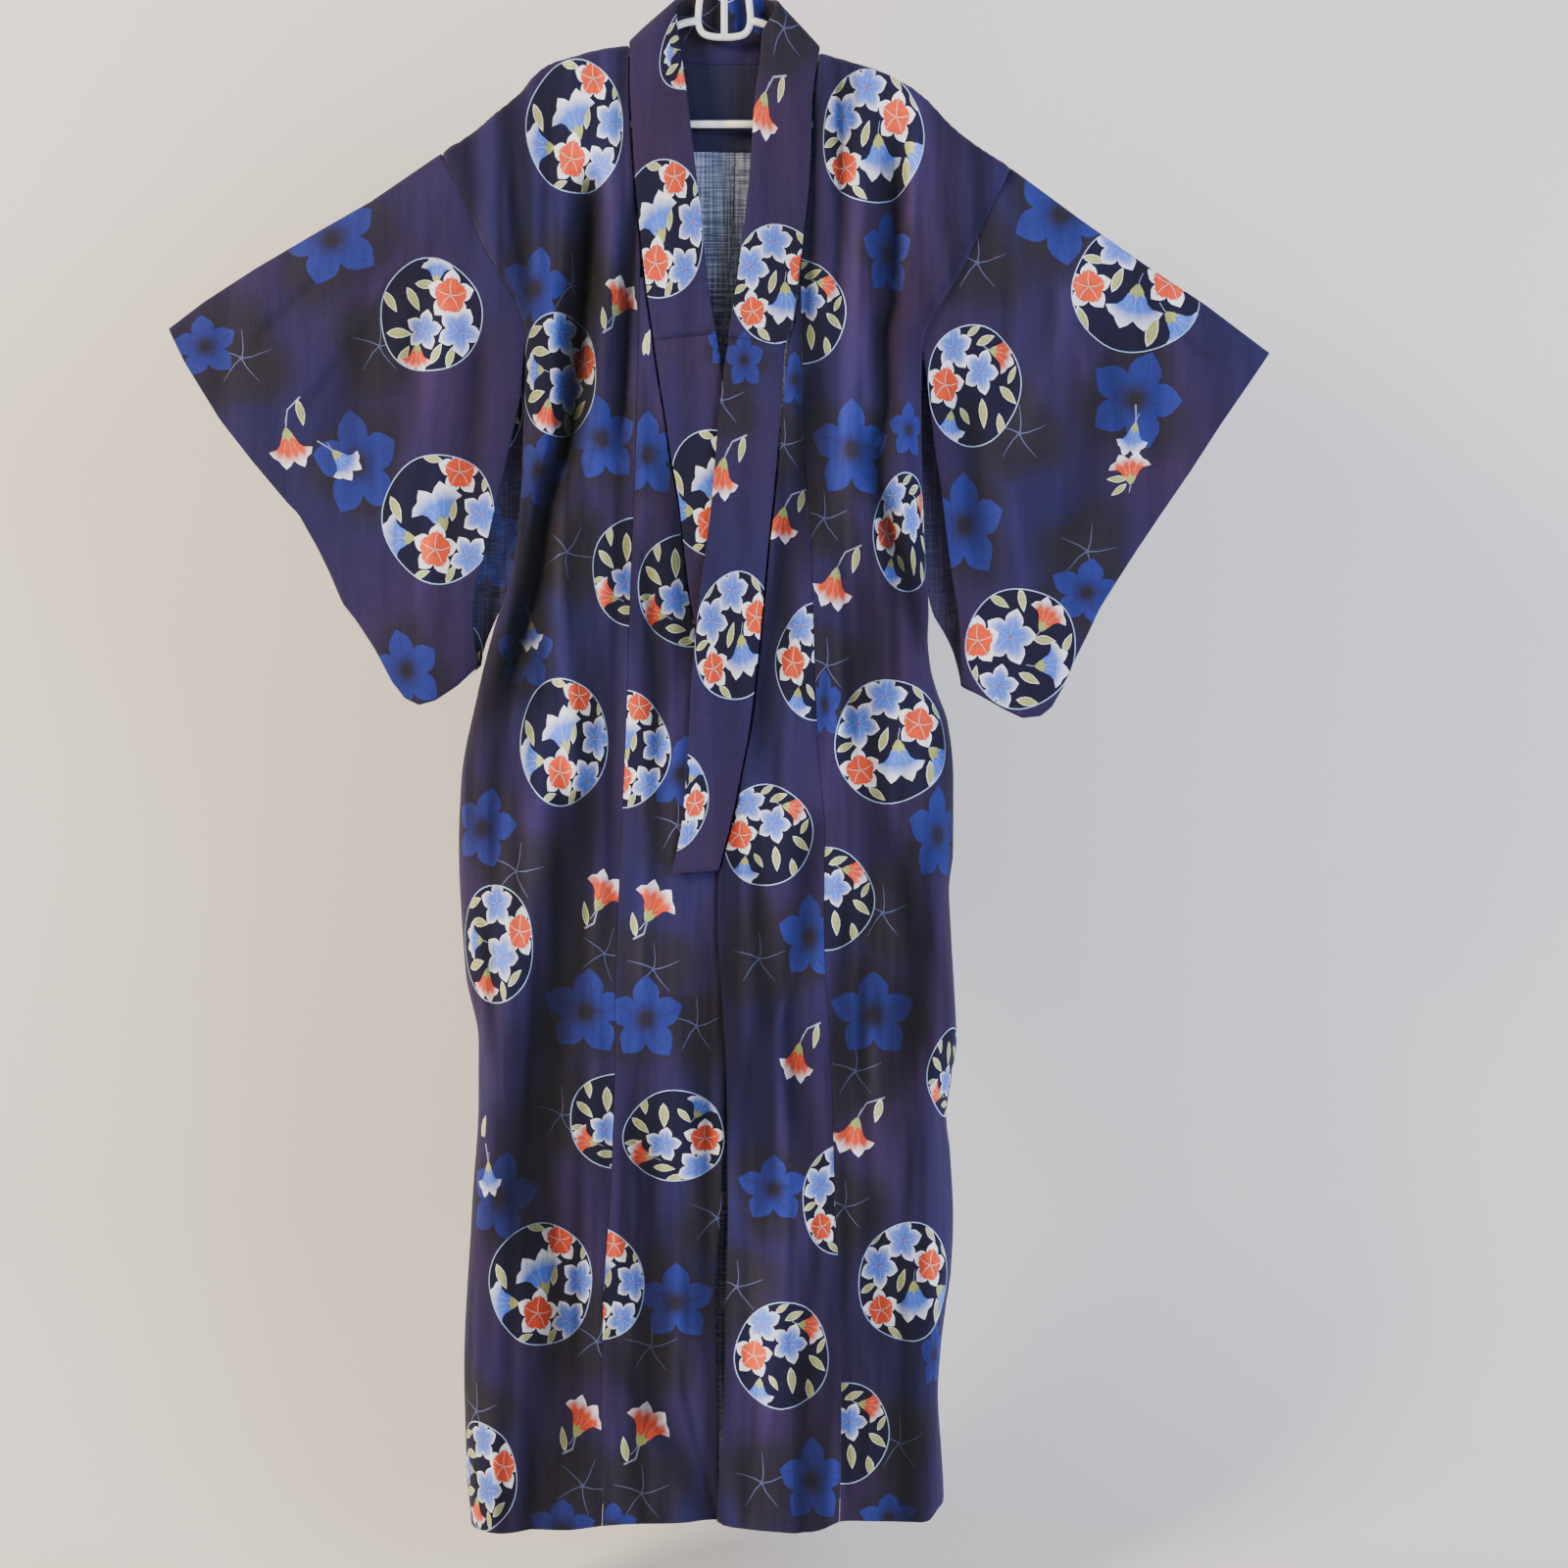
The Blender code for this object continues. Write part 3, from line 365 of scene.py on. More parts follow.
def side_edge(side, layer, d):
    """Flat position of the outer edge, its start angle and the arc length."""
    sign = 1.0 if side == "R" else -1.0
    deep = DEPTH[layer](d)
    wide = ROUND_AT(d)
    start = np.arcsin(np.clip(ROOM_AT(d) / deep, 0.0, 0.95))
    arc = (math.pi / 2 - start) * np.sqrt((wide ** 2 + deep ** 2) / 2)
    flat = OUTER[side](d) + sign * (wide * np.cos(start) - arc)
    return flat, start, arc


def body(side, layer, s, t, lift=0.0):
    """Point on the outer face of a body panel from flat cloth position s, t."""
    s = np.asarray(s, float)
    t = np.asarray(t, float)
    sign = 1.0 if side == "R" else -1.0
    roll = (math.pi / 2) * SHOULDER_ROLL
    top = SHOULDER[side](s)
    over = t - (top + SHOULDER_ROLL - roll)
    angle = np.clip(over / roll, 0.0, 1.0) * math.pi / 2
    d = np.where(over < roll, top + SHOULDER_ROLL * (1 - np.cos(angle)), t)
    rise = np.sin(angle)
    if layer == "back":
        near = ease((NECK_PART - np.abs(s)) / NECK_BLEND)
        d = d * (1 - near) + t * near
        rise = rise * (1 - near) + near
    edge, start, arc = side_edge(side, layer, d)
    wide = ROUND_AT(d)
    deep = DEPTH[layer](d)
    part = np.clip(sign * (s - edge) / arc, 0.0, 1.0)
    theta = start + part * (math.pi / 2 - start)
    x = np.where(part < 1.0, OUTER[side](d) + sign * wide * (np.cos(start) - np.cos(theta)), s)
    free = ease((part - 0.35) / 0.65)
    soft = ease((d - top - 10.0) / 70.0)
    y = deep * np.sin(theta) * rise - fold_depth(layer, x, d) * free * soft
    y = np.maximum(y, 0.0) + HALF_GAP
    if layer == "front":
        y = -y - lift * over_lift(side, x, d)
    return x, y, d


def over_lift(side, x, d):
    """The wearer's left front lies over the right one where they cross."""
    if side != "L":
        return np.zeros(np.broadcast(x, d).shape)
    return ease((150.0 - x) / 75.0) * ease((d - 330.0) / 120.0)


def lift_for(side):
    return OVER_LIFT if side == "L" else 0.0


def top_of_column(side, layer, u, inner_at):
    """Height where a column of the panel meets the shoulder line."""
    low, high = 120.0, 300.0
    for _ in range(40):
        mid = (low + high) / 2
        edge = float(side_edge(side, layer, mid)[0])
        s = edge + u * (float(inner_at(mid)) - edge)
        if mid < float(SHOULDER[side](s)):
            low = mid
        else:
            high = mid
    return (low + high) / 2


ROWS_TOP = [0.0, 4.0, 9.0, 14.0, 19.0]


def panel_rows(count, start, end):
    """Flat heights down a panel, close together over the shoulder roll."""
    first = np.array([start + r for r in ROWS_TOP])
    rest = np.linspace(start + 45.0, end, count)
    return np.concatenate([first, rest])


def okumi_front(side):
    collar = COLLAR_OUT[side]
    free = FREE_EDGE[side]
    return lambda d: np.where(np.asarray(d) < COLLAR_END, collar(d), free(d))


NECK_STATIONS = [
    # sewn edge x, y, d; free edge x, y, d
    ((-100.8, -6.0, 136.0), (-51.5, -16.0, 97.0)),
    ((-99.8, 0.5, 129.5), (-50.0, -6.0, 87.0)),
    ((-92.0, 9.0, 131.5), (-46.0, 4.0, 83.0)),
    ((-72.0, 13.5, 140.0), (-38.0, 9.5, 80.5)),
    ((-38.0, 15.0, 148.0), (-20.0, 11.5, 79.5)),
    ((0.0, 15.2, 150.0), (1.0, 12.0, 79.0)),
    ((38.0, 15.0, 150.0), (24.0, 11.5, 79.5)),
    ((72.0, 13.5, 145.5), (41.0, 9.5, 80.5)),
    ((93.0, 9.0, 137.5), (51.0, 4.0, 83.5)),
    ((100.6, 0.5, 135.0), (55.5, -6.0, 88.0)),
    ((101.4, -6.0, 142.5), (56.5, -16.0, 98.0)),
]


def front_station(side, d_out, d_in):
    sign = 1.0 if side == "R" else -1.0
    clear = 0.7 + 0.9 * float(ease((300.0 - d_out) / 100.0))
    xa = float(COLLAR_OUT[side](d_out)) + sign * clear
    xb = float(COLLAR_IN[side](d_in))
    lift = lift_for(side)
    _, ya, _ = body(side, "front", xa, d_out, lift)
    _, yb, _ = body(side, "front", xb, d_in, lift)
    return (xa, float(ya), d_out), (xb, float(yb), d_in)


def collar_stations():
    rows = [(1014, 1018), (965, 967), (916, 918), (870, 871), (820, 820), (776, 775),
            (725, 724), (675, 673), (619, 616), (574, 570), (535, 531), (508, 504), (485, 480),
            (464, 457), (435, 427), (404, 395), (372, 360), (331, 316), (295, 278),
            (255, 236), (215, 190), (184, 152), (160, 124)]
    right = [front_station("R", a, b) for a, b in rows]
    left = [front_station("L", a, b) for a, b in rows]
    for part in (right, left):
        for k, keep in ((-1, 0.45), (-2, 0.75), (-3, 0.92)):
            (xa, ya, da), (xb, yb, db) = part[k]
            part[k] = (xa, ya * keep - 8.0 * (1 - keep), da), (xb, yb * keep - 18.0 * (1 - keep), db)
    return right + NECK_STATIONS + left[::-1]


STATIONS = collar_stations()


def line_points(table, count):
    pts = np.array(table, float)
    seg = np.linalg.norm(np.diff(pts, axis=0), axis=1)
    along = np.concatenate([[0.0], np.cumsum(seg)])
    at = np.linspace(0.0, along[-1], count)
    return np.stack([np.interp(at, along, pts[:, 0]), np.interp(at, along, pts[:, 1])], axis=1)


def distance(x, d, table):
    """Distance from points to a polyline."""
    best = np.full(np.broadcast(x, d).shape, 1e9)
    for (ax, ad), (bx, bd) in zip(table[:-1], table[1:]):
        lx, ld = bx - ax, bd - ad
        t = np.clip(((x - ax) * lx + (d - ad) * ld) / (lx * lx + ld * ld), 0.0, 1.0)
        best = np.minimum(best, np.hypot(x - ax - t * lx, d - ad - t * ld))
    return best


SLEEVES = {"R": (R_TOP, R_CUFF, R_BOTTOM, R_INNER, R_INNER_BACK),
           "L": (L_TOP, L_CUFF, L_BOTTOM, L_INNER, L_INNER_BACK)}


def shut_line(side):
    cuff, bottom = SLEEVES[side][1], SLEEVES[side][2]
    return [p for p in cuff if p[1] >= CUFF_OPEN] + bottom[1:]


def sleeve_room(side, x, d):
    """Half the space inside the sleeve at a place."""
    top, cuff, _, inner, _ = SLEEVES[side]
    to_arm = distance(x, d, inner[:3])
    to_cuff = distance(x, d, cuff)
    share = to_arm / (to_arm + to_cuff + 1e-6)
    room = SLEEVE_ROOM * (1 - 0.55 * share)
    upper = np.sin(np.clip(distance(x, d, top) / 45.0, 0, 1) * math.pi / 2)
    lower = np.sin(np.clip(distance(x, d, shut_line(side)) / 55.0, 0, 1) * math.pi / 2)
    lower = np.maximum(lower, 0.0)
    return room * upper * lower


def along_line(x, d, a, b):
    """How far places lie along a line, as a share of it, and beside it."""
    lx, ld = b[0] - a[0], b[1] - a[1]
    size = math.hypot(lx, ld)
    along = ((x - a[0]) * lx + (d - a[1]) * ld) / (size * size)
    off = ((x - a[0]) * ld - (d - a[1]) * lx) / size
    return along, off


def sleeve_fold(x, d):
    total = np.zeros(np.broadcast(x, d).shape)
    for half, deep, a, b in SLEEVE_FOLDS:
        along, off = along_line(x, d, a, b)
        ends = ease(along / 0.25) * ease((1 - along) / 0.3)
        total = total + deep * ends * np.exp(-(off / half) ** 2)
    return total


def sleeve_y(side, layer, x, d):
    room = sleeve_room(side, x, d)
    fold = sleeve_fold(x, d) * np.clip(room / SLEEVE_ROOM, 0, 1)
    if layer == "front":
        return -(HALF_GAP + WALL + np.maximum(room - fold, 0.0))
    return HALF_GAP + WALL + np.maximum(room * 0.9 + fold * 0.6, 0.0)


BEHIND_BODY = 8.0   # how far a sleeve's back half reaches behind the body


def sleeve_grid(side, layer, cols, rows):
    top, cuff, bottom, inner, inner_back = SLEEVES[side]
    arm = inner if layer == "front" else inner_back
    heights = np.linspace(arm[0][1], arm[2][1], 24)
    arm = [(float(OUTER[side](d)), d) for d in heights] + arm[3:]
    a = line_points(arm, rows)
    c = line_points(cuff, rows)
    t = line_points(top, cols)
    b = line_points(bottom, cols)[::-1]
    u = np.linspace(0, 1, cols)[None, :, None]
    v = np.linspace(0, 1, rows)[:, None, None]
    flat = (1 - u) * a[:, None, :] + u * c[:, None, :] + (1 - v) * t[None] + v * b[None]
    flat = flat - ((1 - u) * (1 - v) * t[0] + u * (1 - v) * t[-1] + (1 - u) * v * b[0] + u * v * b[-1])
    sign = 1.0 if side == "R" else -1.0
    under = ease((arm[23][1] + 20.0 - flat[:, 0, 1]) / 30.0) * ease((flat[:, 0, 1] - arm[0][1]) / 30.0)
    flat[:, 0, 0] += sign * 2.2 * under
    if layer == "back":
        behind = ease((flat[:, 0, 1] - 460.0) / 30.0) * ease((775.0 - flat[:, 0, 1]) / 60.0)
        flat[:, 0, 0] += sign * BEHIND_BODY * behind
    return flat


# Finer creases
# Soft troughs and ridges that the solids leave out: half width, depth, line (d, x).
FINE_FRONT = [
    (7, 2.2, [(180, -232), (260, -226), (360, -214), (470, -200)]),
    (6, 1.8, [(165, -176), (250, -186), (340, -190), (420, -186)]),
    (5, 2.4, [(260, -92), (372, -97), (480, -103), (620, -107)]),
    (7, -2.2, [(430, -84), (520, -86), (640, -90), (760, -94)]),
    (8, 1.8, [(540, -150), (640, -140), (760, -134), (900, -132)]),
    (9, -2.0, [(600, -172), (720, -168), (840, -162), (960, -150)]),
    (8, 1.6, [(690, -214), (800, -222), (930, -236), (1040, -244)]),
    (7, 2.2, [(1040, -258), (1110, -246), (1190, -240), (1260, -236)]),
    (10, 1.8, [(1180, -148), (1290, -146), (1420, -152), (1560, -150)]),
    (9, 1.6, [(1290, -214), (1400, -222), (1530, -226), (1700, -232)]),
    (7, -1.6, [(860, -84), (980, -80), (1100, -84), (1220, -82)]),
    (9, 1.5, [(1240, -66), (1360, -74), (1500, -76), (1640, -60)]),
    (6, 1.5, [(1060, -14), (1180, -12), (1300, -14), (1480, -18)]),
    (6, -1.7, [(560, 20), (660, 10), (780, 0), (900, -8)]),
    (7, 1.6, [(700, 74), (800, 66), (900, 60), (990, 58)]),
    (6, -1.5, [(1080, 60), (1200, 62), (1320, 66), (1450, 64)]),
    (8, 1.9, [(1180, 30), (1300, 24), (1420, 26), (1560, 22)]),
    (7, 1.7, [(1400, 84), (1500, 88), (1600, 86), (1710, 84)]),
    (5, 2.6, [(150, 122), (240, 126), (340, 124), (440, 118)]),
    (6, -2.0, [(180, 208), (260, 204), (350, 196), (440, 190)]),
    (8, 2.0, [(560, 130), (680, 128), (800, 134), (920, 142)]),
    (7, -1.8, [(820, 186), (930, 196), (1050, 188), (1160, 190)]),
    (8, 1.8, [(1080, 150), (1200, 148), (1330, 154), (1450, 150)]),
    (7, 1.7, [(1250, 214), (1350, 212), (1460, 208), (1600, 206)]),
    (9, 1.6, [(1420, 196), (1520, 192), (1620, 196), (1710, 200)]),
    (5, 1.6, [(300, -120), (380, -128), (470, -134), (560, -146)]),
    (5, -1.8, [(480, -176), (560, -186), (640, -204), (720, -226)]),
    (6, 2.2, [(640, -90), (740, -78), (840, -70), (940, -74)]),
    (5, 1.5, [(1160, -190), (1240, -204), (1320, -206), (1400, -214)]),
    (6, -1.4, [(980, -128), (1080, -136), (1180, -130), (1260, -136)]),
    (5, 1.8, [(1190, -88), (1280, -94), (1360, -86), (1440, -92)]),
    (7, 1.5, [(1560, -206), (1620, -198), (1680, -202), (1710, -204)]),
    (5, 1.6, [(1500, -46), (1570, -38), (1640, -20), (1705, -4)]),
    (5, 1.9, [(820, 20), (880, 10), (940, 14), (1010, 6)]),
    (5, -1.4, [(1040, 84), (1120, 74), (1200, 54), (1270, 52)]),
    (6, 1.7, [(620, 166), (700, 178), (780, 184), (860, 180)]),
    (5, 1.5, [(960, 222), (1030, 216), (1100, 224), (1160, 230)]),
    (6, 1.6, [(1240, 134), (1330, 128), (1420, 132), (1500, 126)]),
    (5, -1.5, [(1360, 62), (1450, 66), (1540, 60), (1640, 64)]),
    (6, 1.4, [(470, 150), (520, 144), (580, 148), (640, 142)]),
]
FINE_BACK = [
    (9, 2.0, [(240, -220), (360, -204), (520, -196), (700, -204)]),
    (8, 1.8, [(200, 60), (340, 66), (520, 70), (700, 64)]),
    (10, 2.0, [(700, -60), (880, -54), (1080, -60), (1280, -56)]),
    (9, -1.8, [(620, 180), (800, 188), (1000, 200), (1200, 204)]),
    (8, 1.8, [(1240, -150), (1380, -146), (1540, -152), (1700, -150)]),
    (9, 2.0, [(1260, 160), (1400, 158), (1560, 164), (1710, 166)]),
    (8, 1.6, [(1300, 30), (1420, 36), (1560, 32), (1700, 36)]),
]
FINE_WIDTH = 0.85
FINE_DEPTH = 1.7
MAIN = {layer: len(FOLDS[layer]) for layer in LAYERS}
FOLDS["front"] += folds(FINE_FRONT, FINE_WIDTH, FINE_DEPTH)
FOLDS["back"] += folds(FINE_BACK, FINE_WIDTH, FINE_DEPTH)
# How strongly fold depth and tilt paint shade and highlight into the print, for main folds, finer creases and
# the sleeve folds.
MAIN_DARK = 0.125
MAIN_TILT = 0.055
FINE_DARK = 0.19
FINE_TILT = 0.13
SLEEVE_DARK = 0.08


def streaks(x, d):
    """Upright waves that wander down the cloth, from -1 to 1."""
    one = np.sin(x / 10.0 + 1.5 * np.sin(d / 190.0 + x / 83.0) + d / 330.0)
    two = np.sin(x / 6.1 - d / 270.0 + 1.9 * np.sin(d / 130.0 + x / 57.0))
    keep = 0.5 + 0.5 * np.sin(d / 88.0 + x / 33.0 + 1.3 * np.sin(x / 71.0))
    return (0.65 * one + 0.35 * two) * keep


def ripple(x, d):
    """Faint uneven rise and fall that loose cotton keeps, in millimetres."""
    slow = np.sin(x / 31.0 + 1.7 * np.sin(d / 97.0)) * np.sin(d / 143.0 + x / 260.0)
    cross = np.sin(d / 19.0 + 1.1 * np.sin(x / 37.0)) * np.sin(x / 61.0 + d / 190.0)
    return 0.6 * slow + 0.5 * streaks(x, d) + 0.14 * cross


def painted_crease_shade(layer, x, d):
    """Painted shade and highlight on the print: dark in a trough, pale on a ridge, a trough's right wall
    lighter than its left, and faint upright streaks.
    """
    deep = np.zeros(len(x))
    fine = np.zeros(len(x))
    slope = np.zeros(len(x))
    for k, (half, depth, line, top, low) in enumerate(FOLDS[layer]):
        ends = np.minimum(ease((d - top) / 60.0), ease((low - d) / 80.0))
        if low > SHADE_REACH:
            ends = ease((d - top) / 60.0)
        off = (x - line(d)) / half
        part = depth * ends * np.exp(-off ** 2)
        if k < MAIN[layer]:
            deep += part
            slope += MAIN_TILT * part * off
        else:
            fine += part
            slope += FINE_TILT * part * off
    shade = np.exp(-MAIN_DARK * np.clip(deep, -4.0, 24.0))
    shade = shade * np.exp(-FINE_DARK * fine + np.clip(slope, -0.7, 0.45))
    return np.clip(shade * (1.06 + 0.15 * streaks(x, d)), 0.05, 1.6)


# Print: drawn shapes on the flat cloth
# A shape is an outline and a rule for its colour; later shapes lie over earlier ones.

def dye(text):
    return np.array(hex_colour(text))


NIGHT = dye("#232148")
PLUM = dye("#312240")
CHARCOAL = dye("#24202a")
DISC = dye("#15132b")
RING = dye("#aac2e6")
PETAL_WHITE = dye("#f6f9fc")
SKY = dye("#4a70d8")
SKY_DEEP = dye("#4464c4")
VERMILION = dye("#d94a26")
VERMILION_DEEP = dye("#b83f24")
OLIVE = dye("#a3a860")
CREAM = dye("#e2e4c8")
STEM = dye("#8f96b0")
COBALT = dye("#283078")
COBALT_DARK = dye("#232a5c")
GHOST_LINE = dye("#5a6088")
LINING = dye("#232338")


def flat_colour(colour):
    return lambda pts: np.broadcast_to(colour, (len(pts), 3))


def placing(x, d, w, h, turn):
    """Moves unit shapes to their place on the cloth, or back again."""
    c, s = math.cos(math.radians(turn)), math.sin(math.radians(turn))

    def move(pts, back=False):
        pts = np.asarray(pts, float)
        if back:
            px, py = pts[:, 0] - x, pts[:, 1] - d
            return np.stack([(c * px + s * py) * 2 / w, (-s * px + c * py) * 2 / h], axis=1)
        px, py = pts[:, 0] * w / 2, pts[:, 1] * h / 2
        return np.stack([x + c * px - s * py, d + s * px + c * py], axis=1)

    return move


class Print:
    """Shapes of one panel, in flat cloth millimetres."""

    def __init__(self):
        self.shapes = []
        self.extra = []
        self.clouds = []

    def add(self, outline, paint, clip=None):
        self.shapes.append((np.asarray(outline, float), paint, clip))

    def points(self, pts):
        self.extra.append(np.asarray(pts, float))


def strip(line, widths):
    """Outline of a thin stroke along a line, with a width at each point."""
    line = np.asarray(line, float)
    way = np.gradient(line, axis=0)
    way /= np.linalg.norm(way, axis=1)[:, None] + 1e-9
    side = np.stack([-way[:, 1], way[:, 0]], axis=1) * np.asarray(widths)[:, None] / 2
    return np.concatenate([line + side, (line - side)[::-1]])


PETAL = [(-36, 0.55), (-29, 0.70), (-20, 0.81), (-8, 0.91), (0, 1.0), (8, 0.91), (20, 0.81),
         (29, 0.70)]
WOBBLE = [1.0, 0.92, 1.05, 0.95, 1.03]


def petal_ring(scale, turn):
    """Star of five broad pointed petals."""
    pts = []
    for k in range(5):
        for deg, r in PETAL:
            a = math.radians(72 * k + deg + turn)
            size = scale * (0.55 + (r - 0.55) * WOBBLE[k])
            pts.append(polar(size, a))
    return pts


def petal_share(local, turn):
    """Distance from a flower's centre as a share of its outline's distance."""
    angle = np.degrees(np.arctan2(local[:, 0], -local[:, 1])) - turn
    off = np.abs((angle + 36.0) % 72.0 - 36.0)
    edge = np.interp(off, [0, 8, 20, 29, 36], [1.0, 0.92, 0.84, 0.75, 0.63])
    return np.hypot(local[:, 0], local[:, 1]) / edge


def blended(place, share, stops):
    """Colour rule: a share worked out in the shape's own axes picks the shade."""
    at = [row[0] for row in stops]
    shades = np.array([row[1] for row in stops])

    def paint(pts):
        q = share(place(pts, back=True))
        return np.stack([np.interp(q, at, shades[:, k]) for k in range(3)], axis=1)

    return paint


def own_axes(base, across, along):
    """Moves points from a shape's own axes to the cloth, or back again."""
    back_to_unit = np.linalg.inv(np.stack([across, along], axis=1)).T

    def local(pts, back=False):
        pts = np.asarray(pts, float)
        if back:
            return (pts - base) @ back_to_unit
        return base + pts[:, :1] * across + pts[:, 1:] * along

    return local


def polar(r, angle):
    """Place at a distance from a flower's centre, with the angle from straight up."""
    return r * math.sin(angle), -r * math.cos(angle)


def dot_outline(r):
    return np.array([(r * math.cos(a), r * math.sin(a)) for a in np.radians(range(0, 360, 60))])


def open_flower(art, outer, x, y, r, turn, kind, clip):
    """Bellflower seen from the front: pale petal edges, coloured heart, thin veins."""
    centre = outer([(x, y)])[0]
    right = outer([(x + r, y)])[0] - centre
    down = outer([(x, y + r)])[0] - centre
    local = own_axes(centre, right, down)

    def share(pts):
        return petal_share(pts, turn)

    unit = 0.6 / np.linalg.norm(right)
    if kind == "red":
        stops = [(0.0, PETAL_WHITE), (0.72, VERMILION * 0.3 + PETAL_WHITE * 0.7),
                 (0.84, PETAL_WHITE), (1.2, PETAL_WHITE)]
        art.add(local(np.array(petal_ring(1.0, turn))), blended(local, share, stops), clip)
        heart = [(0.0, VERMILION_DEEP), (0.35, VERMILION), (1.0, VERMILION)]
        art.add(local(jagged_heart(turn)), blended(local, share, heart), clip)
        vein = PETAL_WHITE * 0.7 + VERMILION * 0.3
        dot = OLIVE
        tip = 0.72
    else:
        stops = [(0.0, SKY_DEEP), (0.22, SKY), (0.60, SKY * 0.95 + PETAL_WHITE * 0.05),
                 (0.82, SKY * 0.6 + PETAL_WHITE * 0.4), (0.95, PETAL_WHITE), (1.2, PETAL_WHITE)]
        art.add(local(np.array(petal_ring(1.0, turn))), blended(local, share, stops), clip)
        vein = SKY * 0.75 + PETAL_WHITE * 0.25
        dot = VERMILION_DEEP
        tip = 0.70
    for scale in (0.2, 0.4, 0.6, 0.8, 0.92):
        ring = np.array(petal_ring(scale, turn))
        art.points(local(ring[::2] if scale < 0.5 else ring))
    for k in range(5):
        a = math.radians(72 * k + turn)
        b = math.radians(72 * k + turn + (12 if k % 2 else -9))
        line = [polar(0.06, b), polar(0.3, b), polar(tip, a)]
        art.add(local(strip(line, np.array([1.0, 0.8, 0.5]) * unit)), flat_colour(vein), clip)
    art.add(local(dot_outline(0.055)), flat_colour(dot), clip)


def jagged_heart(turn):
    """Red heart of a flower: a smaller star with a ragged edge."""
    star = np.array(petal_ring(1.0, turn))
    size = np.hypot(star[:, 0], star[:, 1])
    ragged = np.where(np.arange(len(star)) % 2 == 0, 1.0, 0.93)
    return star * (ragged * (0.42 + 0.30 * size) / size)[:, None]


BELL = [(-0.10, 0.0), (-0.24, 0.14), (-0.34, 0.34), (-0.48, 0.46), (-0.78, 0.52), (-0.66, 0.70),
        (-0.50, 0.80), (-0.42, 0.94), (-0.30, 1.08), (-0.12, 0.98), (0.02, 0.84), (0.16, 0.96),
        (0.36, 1.06), (0.45, 0.92), (0.50, 0.78), (0.68, 0.68), (0.78, 0.48), (0.48, 0.44),
        (0.34, 0.34), (0.24, 0.14), (0.10, 0.0)]
CALYX = [(-0.05, -0.16), (-0.18, 0.02), (-0.21, 0.20), (-0.09, 0.12), (0.0, 0.28), (0.09, 0.12),
         (0.21, 0.20), (0.18, 0.02), (0.05, -0.16)]


def frame_at(outer, x, y, size, way):
    """Local axes for a shape that points along way, an angle from straight down."""
    a = math.radians(way)
    base = outer([(x, y)])[0]
    along = outer([(x + size * math.sin(a), y + size * math.cos(a))])[0] - base
    across = outer([(x + size * math.cos(a), y - size * math.sin(a))])[0] - base
    return own_axes(base, across, along)


def bell_flower(art, outer, x, y, size, way, kind, clip):
    """Bellflower seen from the side, with its green cup."""
    local = frame_at(outer, x, y, size, way)
    heart = VERMILION if kind == "red" else SKY
    soft = heart * 0.45 + PETAL_WHITE * 0.55
    if kind == "red":
        stops = [(0.0, heart), (0.80, heart), (0.87, soft), (0.95, PETAL_WHITE), (1.4, PETAL_WHITE)]
    else:
        stops = [(0.0, heart), (0.66, heart), (0.84, soft), (1.0, PETAL_WHITE), (1.4, PETAL_WHITE)]

    def share(pts):
        return np.hypot(pts[:, 0] * 0.95, pts[:, 1])

    art.add(local(np.array(BELL)), blended(local, share, stops), clip)
    grid = [(-0.15, 0.30), (0.15, 0.30), (-0.24, 0.52), (0.0, 0.52), (0.24, 0.52), (-0.46, 0.70),
            (-0.16, 0.70), (0.16, 0.70), (0.46, 0.68), (-0.3, 0.86), (0.0, 0.86), (0.3, 0.86),
            (0.0, 1.0)]
    art.points(local(np.array(grid)))
    unit = 0.55 / np.linalg.norm(local([(0.0, 1.0)])[0] - local([(0.0, 0.0)])[0])
    rib = heart * 0.75 + PETAL_WHITE * 0.25
    for x0, x1 in ((-0.12, -0.40), (0.0, 0.02), (0.12, 0.40)):
        art.add(local(strip([(x0, 0.25), ((x0 + x1) / 2.2, 0.55), (x1, 0.86)],
                            np.array([1.0, 0.8, 0.4]) * unit)), flat_colour(rib), clip)
    art.add(local(np.array(CALYX)), flat_colour(OLIVE), clip)
    art.add(local(strip([(0.0, -0.10), (0.02, -0.28), (0.08, -0.5)], np.array([1.7, 1.5, 1.3]) * unit)),
            flat_colour(STEM), clip)


LEAF = [(0.0, 0.0), (0.12, 0.16), (0.19, 0.38), (0.18, 0.60), (0.09, 0.84), (0.0, 1.0),
        (-0.08, 0.82), (-0.15, 0.60), (-0.17, 0.38), (-0.11, 0.16)]


def leaf(art, outer, x, y, size, way, clip):
    """Pointed leaf with a cream outline and a pale middle vein."""
    local = frame_at(outer, x, y, size, way)
    shape = np.array(LEAF)
    art.add(local(shape), flat_colour(CREAM), clip)
    inside = np.array([0.01, 0.46]) + (shape - np.array([0.01, 0.46])) * np.array([0.78, 0.84])
    art.add(local(inside), flat_colour(OLIVE), clip)
    unit = 0.45 / (np.linalg.norm(local([(0.0, 1.0)])[0] - local([(0.0, 0.0)])[0]) + 1e-6)
    art.add(local(strip([(0.0, 0.1), (0.03, 0.5), (0.0, 0.86)], np.array([1.0, 0.9, 0.5]) * unit)),
            flat_colour(CREAM * 0.8), clip)


